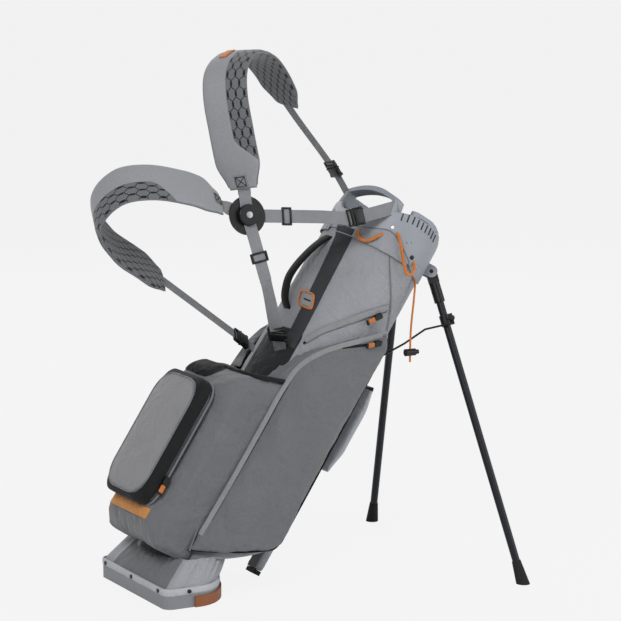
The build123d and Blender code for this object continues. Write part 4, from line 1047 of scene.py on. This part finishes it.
# The ball pocket's raised panel, its piping, and the zip round its gusset
BALL_FRONT = -176
BALL_MIDDLE = 256.5
BALL_AXES = (LEFTWARD, UP_BAG, -TO_LEGS)
PANEL_HALF = (80, 122)
PANEL_CORNER = 48
BALL_HALF = (86, 129.5)
BALL_CORNER = 36
FOOT_OVERHANG = 2
panel_sizes = [half * MM for half in PANEL_HALF]
ball_centre = spot(BALL_FRONT, 0, BALL_MIDDLE)
ball_panel = dome("ball_panel", ball_centre, BALL_AXES, panel_sizes, PANEL_CORNER * MM, 10 * MM)
dress(rest_on(ball_panel, ball), panel_cloth, slot="dark_fabric")


def ball_loop(half_wide, half_high, corner, back):
    """Points round the ball pocket, so far back."""
    loop = []
    for step in range(80):
        wide, high = rounded_frame(step / 80, half_wide, half_high, corner)
        loop.append(spot(back, wide, BALL_MIDDLE + high))
    return loop


panel_edge = ball_loop(*PANEL_HALF, PANEL_CORNER, BALL_FRONT)
panel_piping = rest_on(bead("ball_panel_piping", panel_edge, 2.2 * MM, closed=True), ball)
dress(panel_piping, grey_piping, slot="dark_fabric")
foot_half = [half + FOOT_OVERHANG for half in BALL_HALF]
ball_foot = ball_loop(*foot_half, BALL_CORNER, COOLER_FRONT - 3)
dress(bead("ball_foot_piping", ball_foot, 2.2 * MM, closed=True), grey_piping, slot="dark_fabric")
GUSSET_DEPTH = 24
GUSSET_LENGTH = 0.75


def gusset_surface(u, v):
    """A point of the zip tape round the ball pocket's side, which leans in to the panel's edge."""
    lean = ease((0.35 - v) / 0.35)
    bulge = 3.6 * (1 - lean)
    half_wide = BALL_HALF[0] + bulge - 4 * lean
    half_high = BALL_HALF[1] + bulge - 5 * lean
    wide, high = rounded_frame(u, half_wide, half_high, BALL_CORNER + 10 * lean)
    return spot(BALL_FRONT + 1 + GUSSET_DEPTH * v, wide, BALL_MIDDLE + high)


def gusset_chart(u, v):
    """A point of the tape laid flat, in metres."""
    return (GUSSET_LENGTH * u, GUSSET_DEPTH * MM * v)


gusset = sheet("ball_zip_gusset", 160, 10, gusset_surface, 1.0 * MM, ball, chart=gusset_chart)
dress(gusset, zip_tape, "zips", slot="black_plastic")

# Orange pulls on the zip sliders, riding with them
upper_seat = side_point(64, 661, 2.4)
below_upper = side_point(58, 653, 2.4)
pocket_seat = side_point(80, 613.5, 22.4)
below_pocket = side_point(74, 609.2, 22.4)
PULLS = (
    ("upper_puller", upper_seat, (upper_seat - below_upper).normalized()),
    ("pocket_puller", pocket_seat, (pocket_seat - below_pocket).normalized()),
    ("ball_puller", spot(-146, -88.4, 185), UP_BAG),
)
PULL_LIFT = 5.1 * MM
GRIP_BACK = 18 * MM
TIP_BACK = 27 * MM
for pull_body, seat, travel in PULLS:
    face = TO_CAMERA_SIDE if pull_body == "ball_puller" else tube_outward(seat)
    face = (face - travel * face.dot(travel)).normalized()
    across = face.cross(travel)
    axes = (travel, across, face)
    grip_at = seat + face * PULL_LIFT - travel * GRIP_BACK
    grip = block(pull_body + "_grip", grip_at, axes, (16 * MM, 9 * MM, 4.4 * MM), 1.8 * MM)
    dress(grip, orange_cord, body=pull_body, slot="orange_fabric")
    tip_at = seat + face * PULL_LIFT - travel * TIP_BACK
    tip = block(pull_body + "_tip", tip_at, axes, (5 * MM, 10 * MM, 5.2 * MM), 1.6 * MM)
    dress(tip, black_plastic, body=pull_body, slot="black_plastic")

# Shoulder straps
HUB = Vector((0.107, -0.108, 0.729))
HUB_FACE = Vector((0, -0.97, 0.243)).normalized()
WEB_GAP = 3.1 * MM
COLLAR_WAY = Vector((0.997, -0.0175, -0.07))
FRONT_WAY = Vector((-0.907, 0.102, 0.408))
UPPER_WAY = Vector((-0.036, 0.243, 0.97))
SIDE_WAY = Vector((0.172, -0.239, -0.955))
COLLAR_REACH = 229 * MM
SIDE_REACH = 130 * MM
UPPER_REACH = 50 * MM
HUB_EDGE = 38 * MM
PAD_TUCK = 0.4
WEBBING = 25 * MM
WEB_THICK = 1.6 * MM
PATCH_THICK = 2.4 * MM
PATCH_SHARES = ((0.008, 0.05), (0.95, 0.992))
behind_hub = HUB - HUB_FACE * WEB_GAP
before_hub = HUB + HUB_FACE * WEB_GAP
collar_end = behind_hub + COLLAR_WAY * COLLAR_REACH
side_end = before_hub + SIDE_WAY * SIDE_REACH
upper_start = before_hub + UPPER_WAY * UPPER_REACH
handle_near = spot(4, -98.5, 868)
handle_far = spot(4, 98.5, 868)
front_anchor = Vector((0.212, 0.055, 0.437))
side_anchor = Vector((0.214, -0.041, 0.447))
far_buckle = Vector((0.406, 0.106, 0.785))

LOWER_ALONG = Vector((-0.985, 0.1, 0.14))
LOWER_DROP = Vector((-0.04, 0.66, -0.75))
LOWER_START = Vector((0.057, -0.099, 0.752))
LOWER_ARCH = (
    (0, 0), (40, -22), (82, -34), (158, -38), (212, -13), (228, 57), (173, 134), (105, 180), (41, 222),
)
lower_points = [
    LOWER_START + (LOWER_ALONG * along + LOWER_DROP * drop) * MM for along, drop in LOWER_ARCH
]
lower_across = LOWER_ALONG.cross(LOWER_DROP).normalized()
UPPER_ALONG = Vector((0.742, 0.671, 0))
UPPER_RISE = Vector((-0.227, 0, 0.974))
UPPER_ARCH = (
    (0, 0), (-3, 60), (0, 120), (6, 175), (30, 220), (80, 246), (150, 252), (215, 238), (270, 200),
    (320, 136),
)
upper_points = [
    upper_start + (UPPER_ALONG * along + UPPER_RISE * rise) * MM for along, rise in UPPER_ARCH
]
upper_across = UPPER_ALONG.cross(UPPER_RISE).normalized()
PAD_WIDTHS = (55 * MM, 86 * MM)
PAD_CROWN = 15 * MM
PAD_TWIST = 28
HALF_PAD = PAD_WIDTHS[1] / 2
STITCH_ROUTE = ((-1, -1), (1, -1), (1, 1), (-1, 1), (-1, -1), (1, 1), (1, -1), (-1, 1))


def webbing_stitches(name, corners):
    """A box of stitches with its cross, as thin straight lines through corners."""
    lines = []
    for near, far in zip(corners, corners[1:]):
        lines.append(bead("stitch_line", [near, (near + far) / 2, far], 0.7 * MM))
    return joined(name, lines)


def strap_pad(name, points, across, twist, outer, seam_share, node):
    """A padded shoulder strap with a mesh inner side and a mesh inlay along one edge outside.

    Outer is 1 where its outer side has the girth's first half, and -1 where it has the second.
    """
    form = pad_form(points, across, PAD_WIDTHS, PAD_CROWN, twist)
    total = route_length(points)

    def chart(u, v):
        return (form(u, v)[1], v * total)

    def mark(u, v):
        if sin(2 * pi * u) * outer < -0.2:
            return 1.0
        start, end = seam_share
        edge = 0.1 + 0.95 * (1 - ease((v - start) / 0.1)) + 0.95 * ease((v - end + 0.1) / 0.1)
        return max(0.0, min(1.0, 0.5 + (form(u, v)[1] / HALF_PAD - edge) * 2))

    pad = shaped_grid(
        name, 44, 150, lambda u, v: form(u, v)[0], closed=True, chart=chart, mark=mark
    )
    dress(pad, pad_cloth, node, slot="pad_fabric")
    for number, girth in enumerate((0.0, 0.5)):
        edge = [form(girth, 0.01 + 0.98 * step / 60)[0] for step in range(61)]
        piping = bead(f"{name}_piping_{number}", edge, 1.8 * MM)
        dress(piping, grey_piping, slot="pad_fabric")
    crest = 0.25 if outer > 0 else 0.75
    for number, shares in enumerate(PATCH_SHARES):
        ends = [form(crest, share)[0] for share in shares]
        under = [form(crest + 0.5, share)[0] for share in shares]
        faces = [(top - low).normalized() for top, low in zip(ends, under)]
        lifted = [end + face * 0.4 * MM for end, face in zip(ends, faces)]
        patch = webbing_strap(f"{name}_patch_{number}", lifted, faces, WEBBING, PATCH_THICK, rows=14)
        dress(patch, grey_webbing, slot="webbing")
        travel = (lifted[1] - lifted[0]) * 0.8
        middle = (lifted[0] + lifted[1]) / 2 + faces[0] * 1.3 * MM
        cross = travel.cross(faces[0]).normalized() * 9.5 * MM
        corners = [middle + travel * long / 2 + cross * wide for long, wide in STITCH_ROUTE]
        stitches = webbing_stitches(f"{name}_stitches_{number}", corners)
        dress(stitches, black_piping, slot="webbing")
    return pad


strap_pad("lower_pad_body", lower_points, lower_across, 0, -1, (0.2, 0.97), "lower_strap_pad")
strap_pad("upper_pad_body", upper_points, upper_across, PAD_TWIST, 1, (0.08, 0.95), "upper_strap_pad")
upper_form = pad_form(upper_points, upper_across, PAD_WIDTHS, PAD_CROWN, PAD_TWIST)
tab_line = [upper_form(0.27, 0.47 + 0.02 * step)[0] + UPPER_RISE * 1.5 * MM for step in range(5)]
tab = webbing_strap("upper_pad_tab", tab_line, [UPPER_RISE] * 5, 16 * MM, PATCH_THICK, rows=20)
dress(tab, orange_cord, slot="orange_fabric")


def band_face(points, across, first):
    """The direction that a padded band faces at one of its ends."""
    near, far = (points[0], points[1]) if first else (points[-2], points[-1])
    return (far - near).normalized().cross(across)


upper_lie = upper_across.copy()
upper_lie.rotate(Quaternion((upper_points[-1] - upper_points[-2]).normalized(), radians(PAD_TWIST)))
lower_face = band_face(lower_points, lower_across, True)
lower_tail = band_face(lower_points, lower_across, False)
upper_face = band_face(upper_points, upper_across, True)
upper_tail = band_face(upper_points, upper_lie, False)
side_turn = Vector((-0.55, -0.6, 0.1))
lower_edge = behind_hub + FRONT_WAY * HUB_EDGE
upper_edge = before_hub + UPPER_WAY * HUB_EDGE
lower_tuck = lower_points[0] + (lower_points[1] - lower_points[0]) * PAD_TUCK
upper_tuck = upper_points[0] + (upper_points[1] - upper_points[0]) * PAD_TUCK
WEB_ROUTES = (
    (
        "lower_webbing",
        (
            handle_near, collar_end, behind_hub + COLLAR_WAY * 150 * MM, behind_hub + COLLAR_WAY * 40 * MM,
            behind_hub, lower_edge, lower_points[0], lower_tuck,
        ),
        (*[HUB_FACE] * 6, lower_face, lower_face),
    ),
    (
        "front_webbing",
        (lower_points[-2], lower_points[-1], front_anchor),
        [lower_tail] * 3,
    ),
    (
        "upper_webbing",
        (
            side_anchor, side_end, before_hub + SIDE_WAY * 115 * MM, before_hub + SIDE_WAY * 60 * MM,
            before_hub, upper_edge, upper_points[0], upper_tuck,
        ),
        (side_turn, *[HUB_FACE] * 5, upper_face, upper_face),
    ),
    (
        "far_webbing",
        (upper_points[-2], upper_points[-1], far_buckle, handle_far),
        [upper_tail] * 4,
    ),
)
for web_name, points, faces in WEB_ROUTES:
    strap = webbing_strap(web_name + "_strap", points, faces, WEBBING, WEB_THICK)
    dress(strap, grey_webbing, web_name, slot="webbing")


def fitting_axes(way, face):
    """The axes across, along and out of a fitting that lies along way and looks to face."""
    travel = way.normalized()
    across = travel.cross(face).normalized()
    return across, travel, across.cross(travel)


# Ladder-lock glides: open frames that the webbing passes through
for glide_body, start, way, reach in (
    ("collar_glide", behind_hub, COLLAR_WAY, 85 * MM),
    ("side_glide", before_hub, SIDE_WAY, 82 * MM),
):
    axes = fitting_axes(way, HUB_FACE)
    across, travel = axes[:2]
    bars = []
    for side, along, size in (
        (-15.2, 0, (4.4, 20, 6)), (15.2, 0, (4.4, 20, 6)), (0, -8, (34, 4, 6.4)), (0, 8, (34, 4, 6.4)),
    ):
        centre = start + travel * reach + (across * side + travel * along) * MM
        bars.append(block("glide_bar", centre, axes, [part * MM for part in size], 1.5 * MM))
    glide = joined(glide_body + "_frame", bars)
    dress(glide, black_plastic, glide_body, body=glide_body, slot="black_plastic")

# Side-release buckles: a socket with its two release tabs, and the prong's shoulders and bars
to_side = side_anchor - side_end
to_front = front_anchor - lower_points[-1]
BUCKLES = (
    (collar_end, handle_near - collar_end, HUB_FACE),
    (side_end + to_side * 0.7, to_side, side_turn),
    (lower_points[-1] + to_front * 0.8, to_front, lower_tail),
    (far_buckle, handle_far - far_buckle, upper_tail),
)
SOCKET_BLOCKS = ((0, 11, (30, 22, 11), 2.6), (0, 18.5, (36, 7, 10), 2.2), (0, 2.5, (36, 5, 10), 2.0))
PRONG_BLOCKS = (
    (0, -3, (34, 6, 9), 2.2),
    (0, -12.5, (32, 3, 7), 1.2),
    (-15.5, -8, (3.5, 10, 7), 1.2),
    (15.5, -8, (3.5, 10, 7), 1.2),
    (-16.6, 10, (2.6, 11, 6.5), 1.0),
    (16.6, 10, (2.6, 11, 6.5), 1.0),
)
sockets = []
prongs = []
for seat, way, face in BUCKLES:
    axes = fitting_axes(way, face)
    across, travel = axes[:2]
    for made, blocks in ((sockets, SOCKET_BLOCKS), (prongs, PRONG_BLOCKS)):
        for side, along, size, bevel in blocks:
            centre = seat + (across * side + travel * along) * MM
            made.append(block("buckle_block", centre, axes, [part * MM for part in size], bevel * MM))
dress(joined("buckle_socket_bodies", sockets), black_plastic, "buckle_sockets", slot="black_plastic")
dress(joined("buckle_prong_bodies", prongs), black_plastic, "buckle_prongs", slot="black_plastic")

hub_reach = max(
    (Vector(point.co) - HUB).dot(HUB_FACE) for point in nodes["hub_cap"].data.vertices
)
rivet_seat = HUB + HUB_FACE * (hub_reach - 0.4 * MM)
hub_rivet = disc("hub_rivet", rivet_seat, HUB_FACE, 6.5 * MM, 1.6 * MM, 0.6 * MM)
dress(hub_rivet, rivet_metal, slot="steel")

GRAB_SIDE = 5
GRAB_PATH = ((-30, 770), (-47, 754), (-66, 710), (-76, 658), (-68, 625), (-55, 606), (-30, 590))
grab_points = [spot(back, GRAB_SIDE, up) for back, up in GRAB_PATH]
grab = webbing_strap("grab_handle_strap", grab_points, [TO_LEGS] * 7, WEBBING, 5 * MM)
dress(grab, black_webbing, "grab_handle", slot="black_webbing")

# The pad and the sleeve down the back
HIP_BACK = 189.3
HIP_LOW = 362
HIP_HIGH = 552
HIP_WIDTHS = (69 * MM, 92 * MM)
HIP_CROWN = 21 * MM
HIP_BAND = 0.945  # share of the way up where its dark top starts
hip_points = [spot(HIP_BACK, 0, HIP_LOW + (HIP_HIGH - HIP_LOW) * step / 6) for step in range(7)]
hip_form = pad_form(hip_points, LEFTWARD, HIP_WIDTHS, HIP_CROWN)
hip = shaped_grid(
    "hip_pad_body",
    40,
    80,
    lambda u, v: hip_form(u, v)[0],
    closed=True,
    mark=lambda u, v: ease((v - HIP_BAND) * 40),
)
# The hip pad's light grey is partly painted light: its cloth is lighter than the bag's, to stand in for
# light falling on it from below.
dress(hip, tape_and_lit_pad_cloth, "hip_pad", slot="pad_fabric")
SLEEVE_TOP = 521 * MM  # under the slider's lowest place
sleeve = soft_copy("spine_sleeve_body", "spine_sleeve", 3.5 * MM, 1.0, 1 * MM, 0.6 * MM)
for point in sleeve.data.vertices:
    over = (point.co - ORIGIN).dot(UP_BAG) - SLEEVE_TOP
    point.co -= UP_BAG * max(0.0, over)
dress(sleeve, boot_cloth, "spine_sleeve", slot="light_fabric")

# The pleated boot between the tube and the base, and the binding under it
BASE_FRONT = -88 * MM
BASE_REAR = 72 * MM
BASE_HALF = 150 * MM
BASE_BEND = -20 * MM
BASE_CORNER = 18 * MM
STRIP_LOW = 26 * MM
STRIP_TOP = 38 * MM
BOOT_GATHER = -29 * MM
BOOT_LEAN = 48 * MM
BOOT_FRONT_RISE = 116 * MM
BOOT_REAR_RISE = 78 * MM
BOOT_TOP = 86 * MM
PLEATS = 30
PLEAT_DEPTH = 1.6
BOOT_SWELL = 2
# Where the boot's front is painted darker: painted shade
BOOT_SHADE_FRONT = 78 * MM
BOOT_SHADE_LEFT = 110 * MM
BOOT_SHADE_RIGHT = 150 * MM


def base_outline(share, grow):
    """A point on the base's plan outline, share of the way round from the rear, and its direction."""
    angle = 2 * pi * share
    half = BASE_HALF + grow
    if cos(angle) > 0:
        reach = BASE_REAR - BASE_BEND + grow
        out = Vector((cos(angle) / reach, sin(angle) / half, 0)).normalized()
        return Vector((BASE_BEND + reach * cos(angle), half * sin(angle), 0)), out
    side = 1 if angle <= pi else -1
    way = (angle - pi / 2 if side > 0 else 3 * pi / 2 - angle) / (pi / 2)
    corner = max(BASE_CORNER + grow, 4 * MM)
    run = BASE_BEND - BASE_FRONT + grow - corner
    arc = corner * pi / 2
    travelled = way * (run + arc + half - corner)
    if travelled < run:
        return Vector((BASE_BEND - travelled, side * half, 0)), Vector((0, side, 0))
    if travelled < run + arc:
        turn = (travelled - run) / corner
        out = Vector((-sin(turn), side * cos(turn), 0))
        return Vector((BASE_BEND - run, side * (half - corner), 0)) + out * corner, out
    across = half - corner - (travelled - run - arc)
    return Vector((BASE_FRONT - grow, side * across, 0)), Vector((-1, 0, 0))


def boot_surface(u, v):
    """A point of the boot, gathered into pleats and leaning back with the tube."""
    foot, out = base_outline(u, -3 * MM)
    mouth, _ = base_outline(u, BOOT_GATHER)
    share = (mouth.x - BASE_FRONT) / (BASE_REAR - BASE_FRONT)
    rise = BOOT_FRONT_RISE + (BOOT_REAR_RISE - BOOT_FRONT_RISE) * share
    foot.z = STRIP_TOP - 2 * MM
    mouth.z = rise
    mouth.x += BOOT_LEAN
    reach = min(1.0, (BOOT_TOP - foot.z) / (rise - foot.z))
    pleat = sin(2 * pi * PLEATS * u + 4 * noise.noise(Vector((u * 18, 0, 0)))) * ease(v * 1.4)
    crease = noise.noise(Vector((u * 34, v * 2, 4))) * 2
    lift = pleat * PLEAT_DEPTH + crease + sin(pi * v) * BOOT_SWELL
    return foot.lerp(mouth, reach * v) + out * lift * MM


def boot_front_painted_shade(u, v):
    """Painted shade: the boot's front face, coloured darker than its sides."""
    flat = base_outline(u, 0)[0]
    front = ease((-flat.x - BOOT_SHADE_FRONT) * 300 + 0.5)
    return front * ease((BOOT_SHADE_LEFT - flat.y) * 60) * ease((flat.y + BOOT_SHADE_RIGHT) * 60)


# The mark paints shade on the boot's front face.
boot = sheet("boot_skirt", 320, 30, boot_surface, 1.2 * MM, mark=boot_front_painted_shade)
dress(boot, boot_cloth, "boot", body=None, slot="light_fabric")
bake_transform(boot)


def strip_surface(u, v):
    """A point of the rounded binding between the boot and the base."""
    flat, out = base_outline(u, 0)
    turn = pi * v
    height = (STRIP_LOW + STRIP_TOP) / 2 - cos(turn) * (STRIP_TOP - STRIP_LOW + 2 * MM) / 2
    return flat + Vector((0, 0, height)) + out * (sin(turn) ** 0.5 * 3.4 - 1.9) * MM


strip = sheet("binding_strip", 240, 12, strip_surface, 2 * MM)
dress(strip, tape_and_lit_pad_cloth, "boot_strip", body="base", slot="light_fabric")

# Finishes of the solids that stay
KEPT_FINISHES = (
    (collar_plastic, ("top_collar", "lift_handle", "rim_grip", "divider_top")),
    (base_plastic, ("base_foot",)),
    (rust_plastic, ("base_heel",)),
    (
        black_plastic,
        (
            "right_knuckle", "left_knuckle", "right_clamp", "left_clamp", "rod_slider", "hub_cap",
            "hub_disc", "cord_lock", "cord_button", "hinge_bracket",
            "upper_puller", "pocket_puller", "ball_puller", "band_rivets",
        ),
    ),
    (black_rubber, ("right_foot", "left_foot")),
    (leg_metal, ("right_leg_tube", "left_leg_tube", "stays")),
    (wire_metal, ("leg_pins", "base_hinge_pin", "right_wire", "left_wire", "push_rod")),
    (lining_cloth, ("dividers", "bag_floor")),
)
for finish, names in KEPT_FINISHES:
    for name in names:
        nodes[name].data.materials.clear()
        nodes[name].data.materials.append(finish)
